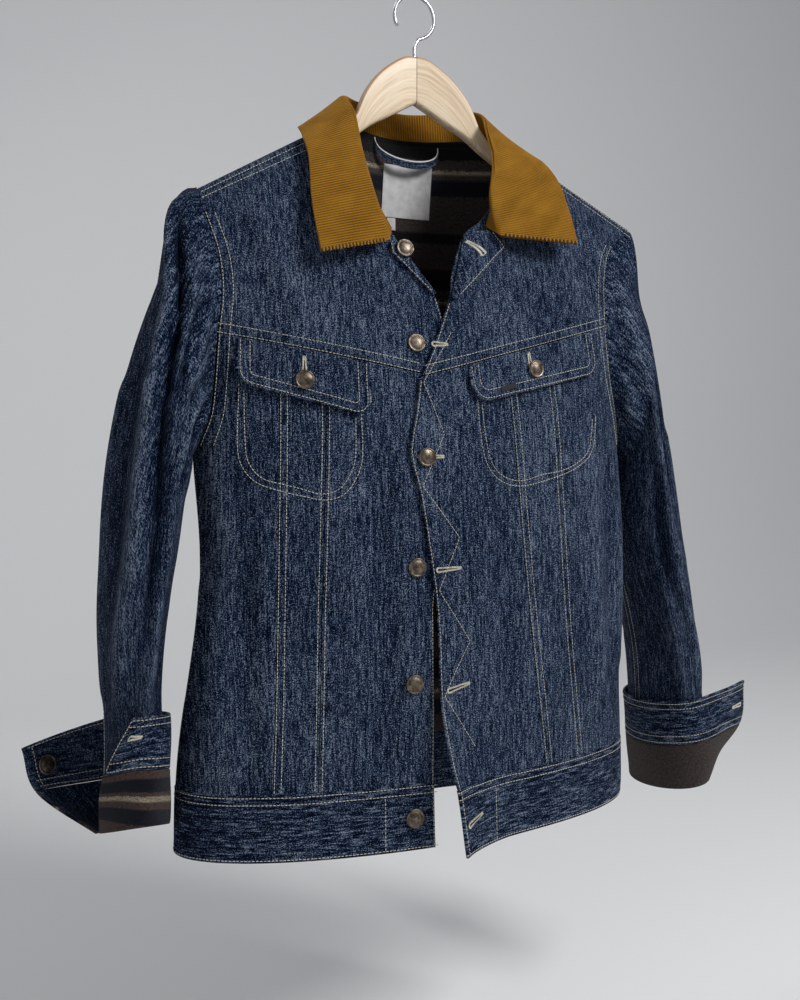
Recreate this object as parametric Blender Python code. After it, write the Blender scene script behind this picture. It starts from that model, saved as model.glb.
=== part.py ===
"""Cropped denim jacket with a corduroy collar, hung on a wooden hanger.

The origin is the inside top of the hanger's hook. +X is the wearer's left, -Y the front, +Z up.
Tables and functions are in centimetres; meshes are made in metres.
"""

import math
from collections import namedtuple

import bmesh
import bpy
from mathutils import Vector

CM = 0.01

# --- Driving sizes -------------------------------------------------------------------------------

GAP = 0.03  # between neighbouring pieces at a seam
PANEL = 0.22  # denim with its blanket lining
DENIM = 0.16  # denim alone, turned and pressed
BAND = 0.34  # hem band and cuffs, denim folded on itself
BLANKET = 0.26  # turned-back sleeve lining
CORD = 0.30  # collar, corduroy on both faces

NECK_HALF = 8.0  # neck point from the middle
BACK_NECK_HALF = 9.2
NECK_TOP = -13.2  # height of the neck points
SHOULDER_HALF = 23.0  # sleeve head from the middle
SHOULDER_SLOPE = 8.8 / 15.0
YOKE_LEVEL = -36.0
BAND_TOP = -74.4
HEM = -80.2
ARMPIT = -45.5
SHOULDER_SEAM = 0.17  # how far in front of the shoulder's ridge its seam lies, as a share of the yoke
NECK_CHAMFER = 1.6
RIDGE_RADIUS = 1.25  # the shoulder's roundness over the hanger

WALE = 0.31  # corduroy rib pitch
WALE_HEIGHT = 0.06
BUTTON_RADIUS = 0.85
FLAP_LIFT = 0.27  # outer face of a pocket flap above its panel

# --- Tables --------------------------------------------------------------------------------------

# Body sections: half widths to the wearer's right and left, the side's place, and depths from it.
Section = namedtuple("Section", "z right left side front back")
BODY = [
    Section(-13.0, 30.0, 30.0, -3.3, 7.2, 6.6),
    Section(-22.0, 27.0, 26.5, -3.3, 7.2, 6.6),
    Section(-30.0, 24.8, 23.8, -3.3, 7.2, 6.6),
    Section(-36.0, 23.4, 21.8, -3.3, 7.2, 6.6),
    Section(-44.0, 23.2, 21.4, -3.4, 8.0, 7.0),
    Section(-52.0, 22.6, 21.4, -3.5, 8.4, 7.0),
    Section(-60.0, 22.8, 21.3, -3.6, 8.5, 6.9),
    Section(-68.0, 24.2, 21.2, -3.7, 8.6, 6.8),
    Section(-74.4, 24.9, 21.2, -3.8, 8.6, 6.7),
    Section(-82.0, 25.1, 21.2, -3.8, 8.6, 6.6),
]

# Armhole seam, as distances from the middle at each height.
Armhole = namedtuple("Armhole", "z front_right front_left back_right back_left")
ARMHOLE = [
    Armhole(-21.9, 23.00, 23.00, 23.00, 23.00),
    Armhole(-22.6, 23.00, 22.60, 23.00, 23.00),
    Armhole(-23.4, 22.95, 21.20, 22.70, 22.20),
    Armhole(-24.6, 22.60, 19.60, 22.10, 21.30),
    Armhole(-27.6, 21.75, 18.30, 21.20, 20.30),
    Armhole(-31.2, 21.45, 17.90, 20.80, 19.70),
    Armhole(-34.6, 21.75, 18.10, 20.90, 19.60),
    Armhole(-38.1, 21.95, 18.80, 21.20, 19.90),
    Armhole(-41.6, 22.25, 20.00, 21.90, 20.50),
    Armhole(-44.2, 22.75, 20.90, 22.60, 21.00),
    Armhole(-45.5, 23.15, 21.40, 23.15, 21.40),
]

# Front edges. The wearer's left front lies on the right one; below the crossing it swings forward.
Edge = namedtuple("Edge", "z left right forward")
FRONT_EDGE = [
    Edge(-31.5, -0.9, -1.6, 0.0),
    Edge(-33.1, -2.3, -1.3, 0.0),
    Edge(-35.2, -3.5, -1.1, 0.0),
    Edge(-37.0, -4.4, -1.0, 0.0),
    Edge(-41.3, -5.2, -0.9, 0.0),
    Edge(-45.3, -6.0, -0.9, 0.0),
    Edge(-48.7, -5.2, -1.2, 0.0),
    Edge(-53.4, -4.5, -2.3, 0.0),
    Edge(-57.8, -3.9, -3.7, 0.0),
    Edge(-61.7, -3.7, -3.85, 0.15),
    Edge(-66.4, -3.85, -3.9, 0.6),
    Edge(-69.0, -3.8, -3.9, 1.2),
    Edge(-72.7, -3.45, -3.95, 2.1),
    Edge(-75.0, -3.0, -3.95, 2.6),
    Edge(-82.0, -2.2, -3.75, 3.2),
]

# Neckline in front, under the collar, and the lapel's roll below it.
Neck = namedtuple("Neck", "share right_x right_z left_x left_z")
NECKLINE = [
    Neck(0.00, -9.6, -14.8, 9.6, -14.8),
    Neck(0.22, -8.4, -17.4, 7.9, -17.2),
    Neck(0.42, -8.1, -20.4, 6.0, -20.2),
    Neck(0.58, -7.1, -23.4, 3.6, -23.2),
    Neck(0.70, -5.6, -25.9, 1.3, -25.0),
    Neck(0.80, -4.4, -28.6, -0.4, -28.5),
    Neck(0.90, -2.3, -31.2, -1.3, -31.6),
    Neck(1.00, -1.0, -38.87, -4.5, -38.5),
]

# Yoke seam and the long seams of each front, as distances along X at two heights.
Line = namedtuple("Line", "x0 z0 x1 z1")
YOKE_SEAM = {"right": Line(-21.8, -34.9, -4.5, -38.2), "left": Line(17.6, -32.9, -4.5, -38.5)}
OUTER_SEAM = {"right": Line(-16.75, -41.6, -17.6, -74.4), "left": Line(9.7, -39.4, 12.6, -74.4)}
INNER_SEAM = {"right": Line(-13.2, -41.7, -14.15, -74.4), "left": Line(5.0, -40.4, 8.4, -74.4)}
BACK_YOKE_Z = -31.0
BACK_SEAM = {"right": Line(-12.5, -31.0, -8.5, -74.4), "left": Line(12.5, -31.0, 8.5, -74.4)}

# Pocket flaps: the two ends of the top, and how far down each side and the point between hang.
Flap = namedtuple("Flap", "inner outer inner_drop outer_drop corner")
FLAP_TOP = 0.08  # below the yoke seam
FLAP = {"right": Flap(-9.45, -20.2, 4.8, 4.0, 1.3), "left": Flap(0.2, 15.4, 3.65, 4.1, 1.3)}

# Buttons on the fronts, on the rolled lapel and on the flaps.
FrontButton = namedtuple("FrontButton", "side x z lift label")
FRONT_BUTTONS = [
    FrontButton("right", -5.15, -26.9, 0.36, "neck"),
    FrontButton("right", -4.75, -35.5, -0.13, "front_1"),
    FrontButton("left", -4.50, -45.7, 0.0, "front_2"),
    FrontButton("right", -5.45, -55.4, 0.0, "front_3"),
    FrontButton("right", -5.85, -65.6, 0.0, "front_4"),
    FrontButton("right", -5.85, -77.3, 0.06, "front_5"),
]
FlapButton = namedtuple("FlapButton", "side x drop")
FLAP_BUTTONS = [FlapButton("right", -14.95, 2.7), FlapButton("left", 7.5, 2.0)]

# Collar: where it is sewn on, where it folds and its outer edge, from the wearer's right end.
Station = namedtuple("Station", "at seam fold edge")
COLLAR = [
    Station(0.0, (-6.10, -8.08, -24.9), (-7.10, -9.75, -26.3), (-13.6, -9.70, -27.7)),
    Station(4.6, (-7.55, -7.02, -21.6), (-8.00, -8.30, -21.3), (-13.8, -7.90, -22.9)),
    Station(9.0, (-8.20, -5.72, -18.2), (-7.90, -5.60, -16.6), (-13.4, -5.90, -18.4)),
    Station(12.5, (-8.30, -3.90, -15.6), (-7.35, -2.70, -12.5), (-13.1, -3.00, -15.6)),
    Station(15.8, (-8.10, -0.90, -13.0), (-6.90, 0.20, -10.0), (-12.1, 0.40, -14.4)),
    Station(20.5, (-4.60, 2.60, -13.35), (-4.60, 3.30, -9.4), (-7.8, 6.00, -14.8)),
    Station(24.8, (0.60, 3.75, -13.6), (0.60, 4.30, -9.3), (0.4, 7.10, -15.4)),
    Station(29.1, (5.40, 2.50, -13.5), (5.30, 3.10, -9.4), (8.2, 5.90, -14.8)),
    Station(33.6, (8.20, -0.90, -13.2), (6.50, 0.10, -9.7), (12.1, 0.40, -14.4)),
    Station(36.8, (7.90, -3.80, -15.8), (5.60, -2.90, -12.6), (12.6, -3.20, -15.6)),
    Station(40.2, (6.60, -5.90, -18.4), (5.00, -5.60, -16.9), (13.0, -6.20, -18.4)),
    Station(44.4, (4.90, -7.05, -21.4), (3.80, -7.90, -20.9), (13.0, -8.10, -21.6)),
    Station(49.0, (3.70, -7.90, -23.9), (4.20, -9.70, -25.0), (12.9, -9.70, -25.1)),
]
FOLD_RADIUS = 0.42

# Sleeves, a row for each section down the arm: its middle, half width across and front to back,
# and how far the outward side of the section is turned up.
Arm = namedtuple("Arm", "x y z across depth tilt lean")
SLEEVE = {
    "right": [
        Arm(25.3, -4.0, -38.4, 8.5, 5.6, 83.0, 0.0),
        Arm(26.4, -3.9, -42.2, 6.2, 6.0, 70.0, 0.0),
        Arm(27.3, -3.8, -46.5, 4.3, 6.1, 53.0, 0.0),
        Arm(28.1, -3.5, -54.0, 3.0, 5.8, 24.0, 0.0),
        Arm(28.5, -3.3, -60.0, 2.6, 5.6, 10.0, -0.02),
        Arm(28.5, -3.0, -66.0, 2.3, 5.4, 2.0, -0.14),
        Arm(28.4, -2.9, -72.0, 2.3, 5.3, 0.0, -0.30),
        Arm(28.5, -2.9, -77.5, 2.6, 5.2, 0.0, -0.34),
    ],
    "left": [
        Arm(22.9, -3.6, -38.2, 8.5, 4.7, 84.5, 0.0),
        Arm(23.6, -3.5, -42.2, 6.2, 5.0, 75.0, 0.0),
        Arm(24.3, -3.3, -46.7, 4.3, 5.2, 61.0, 0.0),
        Arm(25.4, -2.9, -54.0, 3.0, 5.3, 30.0, 0.0),
        Arm(27.3, -2.4, -61.0, 2.7, 5.3, 13.0, 0.0),
        Arm(28.9, -2.0, -67.0, 2.7, 5.3, 6.0, -0.02),
        Arm(29.8, -1.7, -73.5, 2.9, 5.3, 2.0, -0.06),
        Arm(30.2, -1.7, -80.0, 2.9, 5.2, 0.0, -0.06),
    ],
}
SLEEVE_SEAMS = (0.10, 0.45)  # outer and under-arm seam, as shares round from the outer side by the back
CAP_FULLNESS = {"right": 1.25, "left": 0.6}  # how far each sleeve's head stands out at the shoulder

# Turned-back cuffs, at the fold (0), where the lining meets the cuff (1) and at its upper edge (2):
# both ends, as shares round, how far they swing out, away from the front or towards it, and drop.
Cuff = namedtuple("Cuff", "level z back_end front_end back_out back_away back_drop front_out front_near stand")
CUFF = {
    "right": [
        Cuff(0, -77.9, 0.02, 0.985, 0.0, 0.0, 0.0, 0.0, 0.0, 0.36),
        Cuff(1, -73.1, 0.05, 0.900, 4.9, 2.0, 0.4, 0.9, 0.0, 0.55),
        Cuff(2, -68.0, 0.06, 0.810, 6.0, 3.0, 2.2, 0.2, 0.0, 0.66),
    ],
    "left": [
        Cuff(0, -81.0, 0.03, 0.955, 0.0, 0.0, 0.0, 0.0, 0.0, 0.36),
        Cuff(1, -76.3, 0.10, 0.990, 1.6, 0.5, 0.0, 3.8, 3.0, 0.55),
        Cuff(2, -71.6, 0.12, 1.000, 2.7, 0.9, 0.0, 5.0, 3.2, 0.66),
    ],
}
CUFF_ROLL = {"right": 0.0, "left": 0.19}  # how much higher the outer side of each cuff hangs

# Hanger: its upper and lower outline from the middle outwards.
Wood = namedtuple("Wood", "x top bottom")
HANGER = [
    Wood(0.0, -6.0, -10.7),
    Wood(1.1, -6.15, -11.3),
    Wood(2.1, -6.65, -11.9),
    Wood(3.6, -7.75, -12.75),
    Wood(4.8, -9.0, -13.4),
    Wood(5.8, -10.5, -14.1),
    Wood(6.8, -12.65, -14.9),
    Wood(8.4, -14.4, -16.05),
    Wood(10.0, -14.88, -17.1),
    Wood(16.0, -18.40, -20.5),
    Wood(20.6, -21.12, -22.9),
    Wood(21.6, -21.87, -23.2),
]
HANGER_THICK = 1.2
HANGER_SWEEP = 3.25
WIRE = 0.175  # hook wire radius
HOOK_RADIUS = 2.0

# --- Curves and surfaces -------------------------------------------------------------------------


def smooth_reader(rows, column, key):
    """A smooth curve through one column of a table, read at any value of its key column."""
    keys = [getattr(row, key) for row in rows]
    values = [Vector(v) if isinstance(v, tuple) else v for v in (getattr(r, column) for r in rows)]
    if keys[0] > keys[-1]:
        keys, values = keys[::-1], values[::-1]
    slopes = []
    for i in range(len(keys)):
        before, after = max(i - 1, 0), min(i + 1, len(keys) - 1)
        slopes.append((values[after] - values[before]) / (keys[after] - keys[before]))

    def read(at):
        at = min(max(at, keys[0]), keys[-1])
        i = max(k for k in range(len(keys) - 1) if keys[k] <= at)
        width = keys[i + 1] - keys[i]
        t = (at - keys[i]) / width
        rise = t * t * (3 - 2 * t)
        return (
            values[i] * (1 - rise)
            + values[i + 1] * rise
            + slopes[i] * (width * t * (1 - t) ** 2)
            - slopes[i + 1] * (width * t * t * (1 - t))
        )

    return read


def columns(rows, key="z"):
    """One reader for each column of a table, as attributes."""
    names = [name for name in rows[0]._fields if name != key]
    Readers = namedtuple("Readers", names)
    return Readers(*(smooth_reader(rows, name, key) for name in names))


body = columns(BODY)
armhole = columns(ARMHOLE)
edge = columns(FRONT_EDGE)
neckline = columns(NECKLINE, "share")
collar = columns(COLLAR, "at")
wood = columns(HANGER, "x")


def ease(t):
    t = min(max(t, 0.0), 1.0)
    return t * t * (3 - 2 * t)


def mix(a, b, t):
    return a + (b - a) * t


def spaced(count, power=1.0):
    """count + 1 shares from 0 to 1, closer at the start when power is over 1."""
    return [(i / count) ** power for i in range(count + 1)]


def along_line(line, z):
    """X of a seam line at a height."""
    return mix(line.x0, line.x1, (z - line.z0) / (line.z1 - line.z0))


def seam_height(line, x):
    """Height of a seam line at X."""
    return mix(line.z0, line.z1, (x - line.x0) / (line.x1 - line.x0))


def half_width(x, z):
    return body.right(z) if x < 0 else body.left(z)


def ridge_height(x):
    return NECK_TOP - SHOULDER_SLOPE * max(0.0, abs(x) - NECK_HALF)


def ridge_place(x, facing):
    """Y of the shoulder's ridge; behind the neck the back rises to the collar seam instead."""
    place = -1.0 - 2.5 * max(0.0, (abs(x) - NECK_HALF) / (SHOULDER_HALF - NECK_HALF))
    if facing > 0 and abs(x) < BACK_NECK_HALF:
        place += 4.6 * math.cos(math.pi / 2 * x / BACK_NECK_HALF) ** 1.2
    return place


def cloth_y(x, z, facing):
    """Y of the body's front (facing -1) or back (+1) at a point of its outline."""
    share = min(1.0, abs(x) / half_width(x, z))
    depth = body.front(z) if facing < 0 else body.back(z)
    section = body.side(z) + facing * depth * math.sqrt(1 - share * share)
    ridge, start = ridge_height(x), ridge_place(x, facing)
    tall = ridge - YOKE_LEVEL
    fall = min(1.0, max(0.0, (ridge - z) / tall))
    reach = abs(section - start)
    full = max(0.0, math.sqrt(2 * RIDGE_RADIUS * tall) / max(reach, 2.5) - 1)
    full *= ease((abs(x) - NECK_HALF) / NECK_CHAMFER) * math.exp(-fall / 0.06)
    return mix(start, section, min(1.0, math.sqrt(fall) * (1 + full)))


def right_front_y(x, z):
    return cloth_y(x, z, -1)


def left_front_y(x, z):
    """The wearer's left front lies over the right one, and its edge swings forward near the hem."""
    over = 0.42 * (1 - ease((x + 1.0) / 5.0))
    swing = edge.forward(z) * math.exp(-max(0.0, x - edge.left(z)) / 3.2)
    return cloth_y(x, z, -1) - over - swing


FRONT_Y = {"right": right_front_y, "left": left_front_y}
SIGN = {"right": -1, "left": 1}


def front_point(side, x, z, lift=0.0):
    """A point of a front, moved out along its normal."""
    y = FRONT_Y[side]
    step = 0.02
    slope_x = (y(x + step, z) - y(x - step, z)) / (2 * step)
    slope_z = (y(x, z + step) - y(x, z - step)) / (2 * step)
    normal = Vector((slope_x, -1.0, slope_z)).normalized()
    return Vector((x, y(x, z), z)) + normal * lift


def front_turn(side, angle, z):
    """A point of a front by its turn round the section, from 0 at its side seam."""
    x = SIGN[side] * half_width(SIGN[side], z) * math.cos(angle)
    return Vector((x, FRONT_Y[side](x, z), z))


def turn_of(side, x, z):
    return math.acos(min(1.0, max(-1.0, x * SIGN[side] / half_width(SIGN[side], z))))


def back_turn(angle, z):
    """A point of the back, from 0 at the wearer's left side seam to pi at the right one."""
    c = math.cos(angle)
    x = half_width(c, z) * c
    return Vector((x, cloth_y(x, z, 1), z))


def fillet(a, corner, b, radius, t):
    """A path a - corner - b with its corner rounded, at share t: straight, round, straight."""
    to_a, to_b = a - corner, b - corner
    half = to_a.angle(to_b) / 2
    cut = min(radius / math.tan(half), 0.45 * to_a.length, 0.45 * to_b.length)
    start, end = corner + to_a.normalized() * cut, corner + to_b.normalized() * cut
    middle = corner + (to_a.normalized() + to_b.normalized()).normalized() * (cut / math.cos(half))
    if t < 0.35:
        return a.lerp(start, t / 0.35)
    if t > 0.60:
        return end.lerp(b, (t - 0.60) / 0.40)
    turn = (t - 0.35) / 0.25
    spoke = (start - middle).slerp(end - middle, turn)
    return middle + spoke


# --- Making solids -------------------------------------------------------------------------------

FINISH = {
    "denim": ((0.030, 0.060, 0.130), 0.85, 0.0),
    "corduroy": ((0.330, 0.160, 0.020), 0.80, 0.0),
    "blanket": ((0.060, 0.048, 0.045), 0.95, 0.0),
    "label": ((0.620, 0.610, 0.600), 0.75, 0.0),
    "dark_tab": ((0.012, 0.012, 0.014), 0.70, 0.0),
    "bronze": ((0.150, 0.120, 0.095), 0.38, 1.0),
    "wood": ((0.700, 0.510, 0.330), 0.50, 0.0),
    "steel": ((0.600, 0.600, 0.620), 0.22, 1.0),
}
materials = {}


def finish(name):
    if name not in materials:
        color, roughness, metallic = FINISH[name]
        material = bpy.data.materials.new(name)
        material.use_nodes = True
        shader = material.node_tree.nodes["Principled BSDF"]
        shader.inputs["Base Color"].default_value = (*color, 1.0)
        shader.inputs["Roughness"].default_value = roughness
        shader.inputs["Metallic"].default_value = metallic
        materials[name] = material
    return materials[name]


def add_piece(name, bm, finish_name, smooth=True):
    """A named object from a mesh in centimetres."""
    bmesh.ops.recalc_face_normals(bm, faces=bm.faces)
    bmesh.ops.scale(bm, vec=(CM, CM, CM), verts=bm.verts)
    mesh = bpy.data.meshes.new(name)
    bm.to_mesh(mesh)
    bm.free()
    if smooth:
        mesh.shade_smooth()
        mesh.set_sharp_from_angle(angle=math.radians(40))
    mesh.materials.append(finish(finish_name))
    obj = bpy.data.objects.new(name, mesh)
    bpy.context.scene.collection.objects.link(obj)
    return obj


def outward(surface, u, v, side):
    """The surface's normal at (u, v), on the side where the cloth's outer face is."""
    step = 0.004
    along_u = surface(u + step, v) - surface(u - step, v)
    along_v = surface(u, v + step) - surface(u, v - step)
    return along_u.cross(along_v).normalized() * side


def wall(name, surface, across, down, thick, finish_name, side=1, lift=0.0):
    """A cloth wall: surface(u, v) is its outer face at the shares across and down, and the wall's
    thickness lies behind it."""
    bm = bmesh.new()
    inward = bm.verts.layers.float_vector.new("inward")
    bmesh.ops.create_grid(bm, x_segments=len(across) - 1, y_segments=len(down) - 1, size=1.0)
    for vert in bm.verts:
        u = across[round((vert.co.x + 1) / 2 * (len(across) - 1))]
        v = down[round((vert.co.y + 1) / 2 * (len(down) - 1))]
        normal = outward(surface, u, v, side)
        vert.co = surface(u, v) + normal * lift
        vert[inward] = normal * -thick
    faces = bm.faces[:]
    made = bmesh.ops.extrude_face_region(bm, geom=faces, use_keep_orig=True)
    for vert in (item for item in made["geom"] if isinstance(item, bmesh.types.BMVert)):
        vert.co += vert[inward]
    return add_piece(name, bm, finish_name)


# --- Body ----------------------------------------------------------------------------------------


def make_front_yokes():
    for side in ("right", "left"):
        sign = SIGN[side]
        seam = YOKE_SEAM[side]
        neck_x = neckline.right_x if side == "right" else neckline.left_x
        neck_z = neckline.right_z if side == "right" else neckline.left_z
        arm_x = armhole.front_right if side == "right" else armhole.front_left
        top_z, low_z = shoulder_seam_height(SHOULDER_HALF), seam.z0
        for _ in range(4):
            low_z = seam_height(seam, sign * arm_x(low_z))
        low_x = sign * arm_x(low_z)

        def inner(r):
            return Vector((neck_x(r), 0, neck_z(r)))

        def outer(r):
            z = mix(top_z, low_z, r)
            return Vector((sign * arm_x(z), 0, z))

        def top(s):
            x = mix(inner(0).x, outer(0).x, s)
            return Vector((x, 0, shoulder_seam_height(x)))

        def bottom(s):
            x = mix(inner(1).x, low_x, s)
            return Vector((x, 0, seam_height(seam, x)))

        def surface(u, v):
            s, r = mix(0.002, 0.998, u), mix(0.004, 0.998, v)
            flat = inner(r) * (1 - s) + outer(r) * s + top(s) * (1 - r) + bottom(s) * r
            flat -= top(0) * ((1 - s) * (1 - r)) + top(1) * (s * (1 - r))
            flat -= bottom(0) * ((1 - s) * r) + bottom(1) * (s * r)
            return Vector((flat.x, FRONT_Y[side](flat.x, flat.z), flat.z))

        wall(f"front_yoke_{side}", surface, spaced(12), spaced(11, 1.3), PANEL, "denim", side=-sign)


def shoulder_seam_height(x):
    ridge = ridge_height(x)
    return ridge - SHOULDER_SEAM**2 * (ridge - YOKE_LEVEL)


def make_front_panels():
    """Each front below its yoke: a centre panel, a narrow strip and a side panel."""
    for side in ("right", "left"):
        sign = SIGN[side]
        seam = YOKE_SEAM[side]
        front_edge = edge.right if side == "right" else edge.left
        arm_x = armhole.front_right if side == "right" else armhole.front_left

        def edge_turn(z):
            return turn_of(side, front_edge(z), z)

        def inner_turn(z):
            return turn_of(side, along_line(INNER_SEAM[side], z), z)

        def outer_turn(z):
            return turn_of(side, along_line(OUTER_SEAM[side], z), z)

        def side_turn(z):
            return turn_of(side, sign * arm_x(z), z) if z > ARMPIT else 0.0

        def panel(name, start, end, count):
            def surface(u, v):
                level = mix(seam.z1, BAND_TOP, v)
                for _ in range(3):
                    turn = mix(start(level) - GAP / 16, end(level) + GAP / 16, u)
                    x = SIGN[side] * half_width(sign, level) * math.cos(turn)
                    high = seam_height(seam, x) - GAP / 2
                    level = mix(high, BAND_TOP + GAP / 2, v)
                return front_turn(side, turn, level)

            wall(name, surface, spaced(count), spaced(14), PANEL, "denim", side=-sign)

        panel(f"front_centre_{side}", edge_turn, inner_turn, 5)
        panel(f"front_strip_{side}", inner_turn, outer_turn, 2)
        panel(f"front_side_{side}", outer_turn, side_turn, 6)


def back_yoke_top(x):
    """How far over the ridge the back yoke reaches: to the shoulder seam, or short of it at the neck."""
    if abs(x) < NECK_HALF - 0.2:
        return -0.100 * math.sqrt(max(0.0, math.cos(math.pi * (x - 0.6) / 16.4)))
    return SHOULDER_SEAM * ease((abs(x) - NECK_HALF) / NECK_CHAMFER)


def yoke_end(side, over):
    """Half width of the back yoke where it meets the sleeve, so far over or behind the ridge."""
    arm_x = getattr(armhole, ("front_" if over > 0 else "back_") + side)
    x = SHOULDER_HALF
    for _ in range(4):
        x = arm_x(ridge_height(x) - over**2 * (ridge_height(x) - YOKE_LEVEL))
    return x - 0.04


def make_back_yoke():
    """One piece over both shoulders, from the front's shoulder seams to the seam across the back."""

    def surface(u, v):
        x = mix(-22, 22, u)
        for _ in range(3):
            tall = ridge_height(x) - YOKE_LEVEL
            low = -math.sqrt((ridge_height(x) - BACK_YOKE_Z) / tall)
            over = mix(back_yoke_top(x) - 0.014, low, v)
            x = mix(-yoke_end("right", over), yoke_end("left", over), u)
        z = ridge_height(x) - over**2 * (ridge_height(x) - YOKE_LEVEL)
        return Vector((x, cloth_y(x, z, -1 if over > 0 else 1), z))

    wall("back_yoke", surface, spaced(24), spaced(9), PANEL, "denim")


def make_back_panels():
    """A centre panel and two side panels below the back yoke."""

    def seam_turn(side, z):
        line = BACK_SEAM[side]
        return math.acos(along_line(line, z) / half_width(line.x0, z))

    def right_side(z):
        arm = -armhole.back_right(z) / half_width(-1, z)
        return math.acos(max(-1.0, arm)) if z > ARMPIT else math.pi

    def left_side(z):
        arm = armhole.back_left(z) / half_width(1, z)
        return math.acos(min(1.0, arm)) if z > ARMPIT else 0.0

    def panel(name, start, end, count):
        def surface(u, v):
            z = mix(BACK_YOKE_Z - GAP / 2, BAND_TOP + GAP / 2, v)
            return back_turn(mix(start(z) + GAP / 16, end(z) - GAP / 16, u), z)

        wall(name, surface, spaced(count), spaced(12), PANEL, "denim", side=-1)

    def left_seam(z):
        return seam_turn("left", z)

    def right_seam(z):
        return seam_turn("right", z)

    panel("back_side_left", left_side, left_seam, 5)
    panel("back_centre", left_seam, right_seam, 8)
    panel("back_side_right", right_seam, right_side, 5)


def make_hem_band():
    """The band in three pieces, joined at the side seams, folded at the hem."""

    def band(name, surface, count, side):
        wall(name, surface, spaced(count), spaced(2), BAND, "denim", side=side, lift=0.06)

    for side in ("right", "left"):
        front_edge = edge.right if side == "right" else edge.left

        def surface(u, v):
            z = mix(BAND_TOP - GAP / 2, HEM, v)
            return front_turn(side, mix(turn_of(side, front_edge(z), z), GAP / 16, u), z)

        band(f"hem_band_{side}", surface, 14, -SIGN[side])

    def behind(u, v):
        return back_turn(mix(GAP / 16, math.pi - GAP / 16, u), mix(BAND_TOP - GAP / 2, HEM, v))

    band("hem_band_back", behind, 18, -1)


# --- Collar, neck and lapels ---------------------------------------------------------------------


def collar_point(at, t):
    seam, fold, rim = collar.seam(at), collar.fold(at), collar.edge(at)
    return fillet(seam, fold, rim, FOLD_RADIUS, t)


def make_collar():
    """One strip, folded over: its ribs run across it, raised on the outer face of a plain wall."""
    length = COLLAR[-1].at
    ribs = round(length / WALE)
    fine, per_plain = 2 * ribs, 8
    rows = [0.0, 0.35, 0.43, 0.52, 0.60, 1.0]
    fine -= fine % per_plain
    plain = fine // per_plain
    bm = bmesh.new()

    def surface(u, v):
        return collar_point(u * length, v)

    def layer(count, depth_of):
        grid = []
        for i in range(count + 1):
            u = i / count
            line = []
            for v in rows:
                normal = outward(surface, u, v, 1)
                line.append(bm.verts.new(surface(u, v) - normal * depth_of(i)))
            grid.append(line)
        return grid

    ribbed = layer(fine, lambda i: 0.0 if i % 2 else WALE_HEIGHT)
    under = layer(plain, lambda i: CORD)
    for grid, turn in ((ribbed, 1), (under, -1)):
        for i in range(len(grid) - 1):
            for j in range(len(rows) - 1):
                corners = [grid[i][j], grid[i + 1][j], grid[i + 1][j + 1], grid[i][j + 1]]
                bm.faces.new(corners[::turn])
    for j in range(len(rows) - 1):
        for i in (0, -1):
            bm.faces.new([ribbed[i][j], ribbed[i][j + 1], under[i][j + 1], under[i][j]])
    for j in (0, -1):
        for i in range(fine):
            bm.faces.new([ribbed[i][j], ribbed[i + 1][j], under[i // per_plain][j]])
        for i in range(plain):
            bm.faces.new([under[i][j], ribbed[(i + 1) * per_plain][j], under[i + 1][j]])
    add_piece("collar", bm, "corduroy", smooth=False)


def make_lapels():
    """The tops of the fronts turn back and show their denim facing."""
    left = Line(1.25, -24.9, -1.15, -31.5)
    tip = Vector((5.4, 0, -26.1))
    upper = Vector((4.2, 0, -24.5))

    def left_surface(u, v):
        roll = Vector((mix(left.x0, left.x1, v), 0, mix(left.z0, left.z1, v)))
        if v < 0.2:
            rim = upper.lerp(tip, v / 0.2)
        else:
            rim = tip.lerp(Vector((left.x1 + 0.5, 0, left.z1 + 0.15)), (v - 0.2) / 0.8)
        flat = roll.lerp(rim, u)
        return front_point("left", flat.x, flat.z, 0.21 + 0.54 * math.sin(math.pi * min(u, 0.5)))

    wall("lapel_left", left_surface, spaced(5), spaced(8), DENIM, "denim", side=-1)

    corner = Vector((-6.35, 0, -27.3))
    foot = Vector((-2.7, 0, -31.0))

    def right_surface(u, v):
        roll = Vector((-5.75, 0, -26.1)).lerp(Vector((-2.3, 0, -30.8)), v)
        start = Vector((-6.45, 0, -26.3))
        rim = start.lerp(corner, v / 0.2) if v < 0.2 else corner.lerp(foot, (v - 0.2) / 0.8)
        flat = roll.lerp(rim, u)
        return front_point("right", flat.x, flat.z, 0.20 + 0.20 * math.sin(math.pi * min(u, 0.5)))

    wall("lapel_right", right_surface, spaced(3), spaced(7), DENIM, "denim", side=1)


def back_inside(x, z, depth):
    """A point inside the back, depth behind which the cloth's outer face lies."""
    return Vector((x, cloth_y(x, z, 1) - depth, z))


def make_back_lining():
    """The blanket lining that shows through the neck."""

    def surface(u, v):
        x = mix(-8.6, 11.5, u)
        top = NECK_TOP - 0.9 - 0.62 * max(0.0, abs(x) - 7.0)
        return back_inside(x, mix(top, -36.5, v), 0)

    wall("lining_back", surface, spaced(12), spaced(7), 0.2, "blanket", lift=-PANEL - 0.11)


def make_neck_label():
    """A bare white label and the small tab that hangs under it."""

    def label(u, v):
        x = mix(-2.3, 3.35, u) - 0.35 * v
        return back_inside(x, mix(-16.2, -21.6, v), 0)

    wall("neck_label", label, spaced(4), spaced(4), 0.06, "label", lift=-0.59)

    def tab(u, v):
        return back_inside(mix(-1.9, -0.9, u), mix(-21.66, -22.9, v), 0)

    wall("neck_label_tab", tab, spaced(2), spaced(2), 0.06, "label", lift=-0.59)


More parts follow.
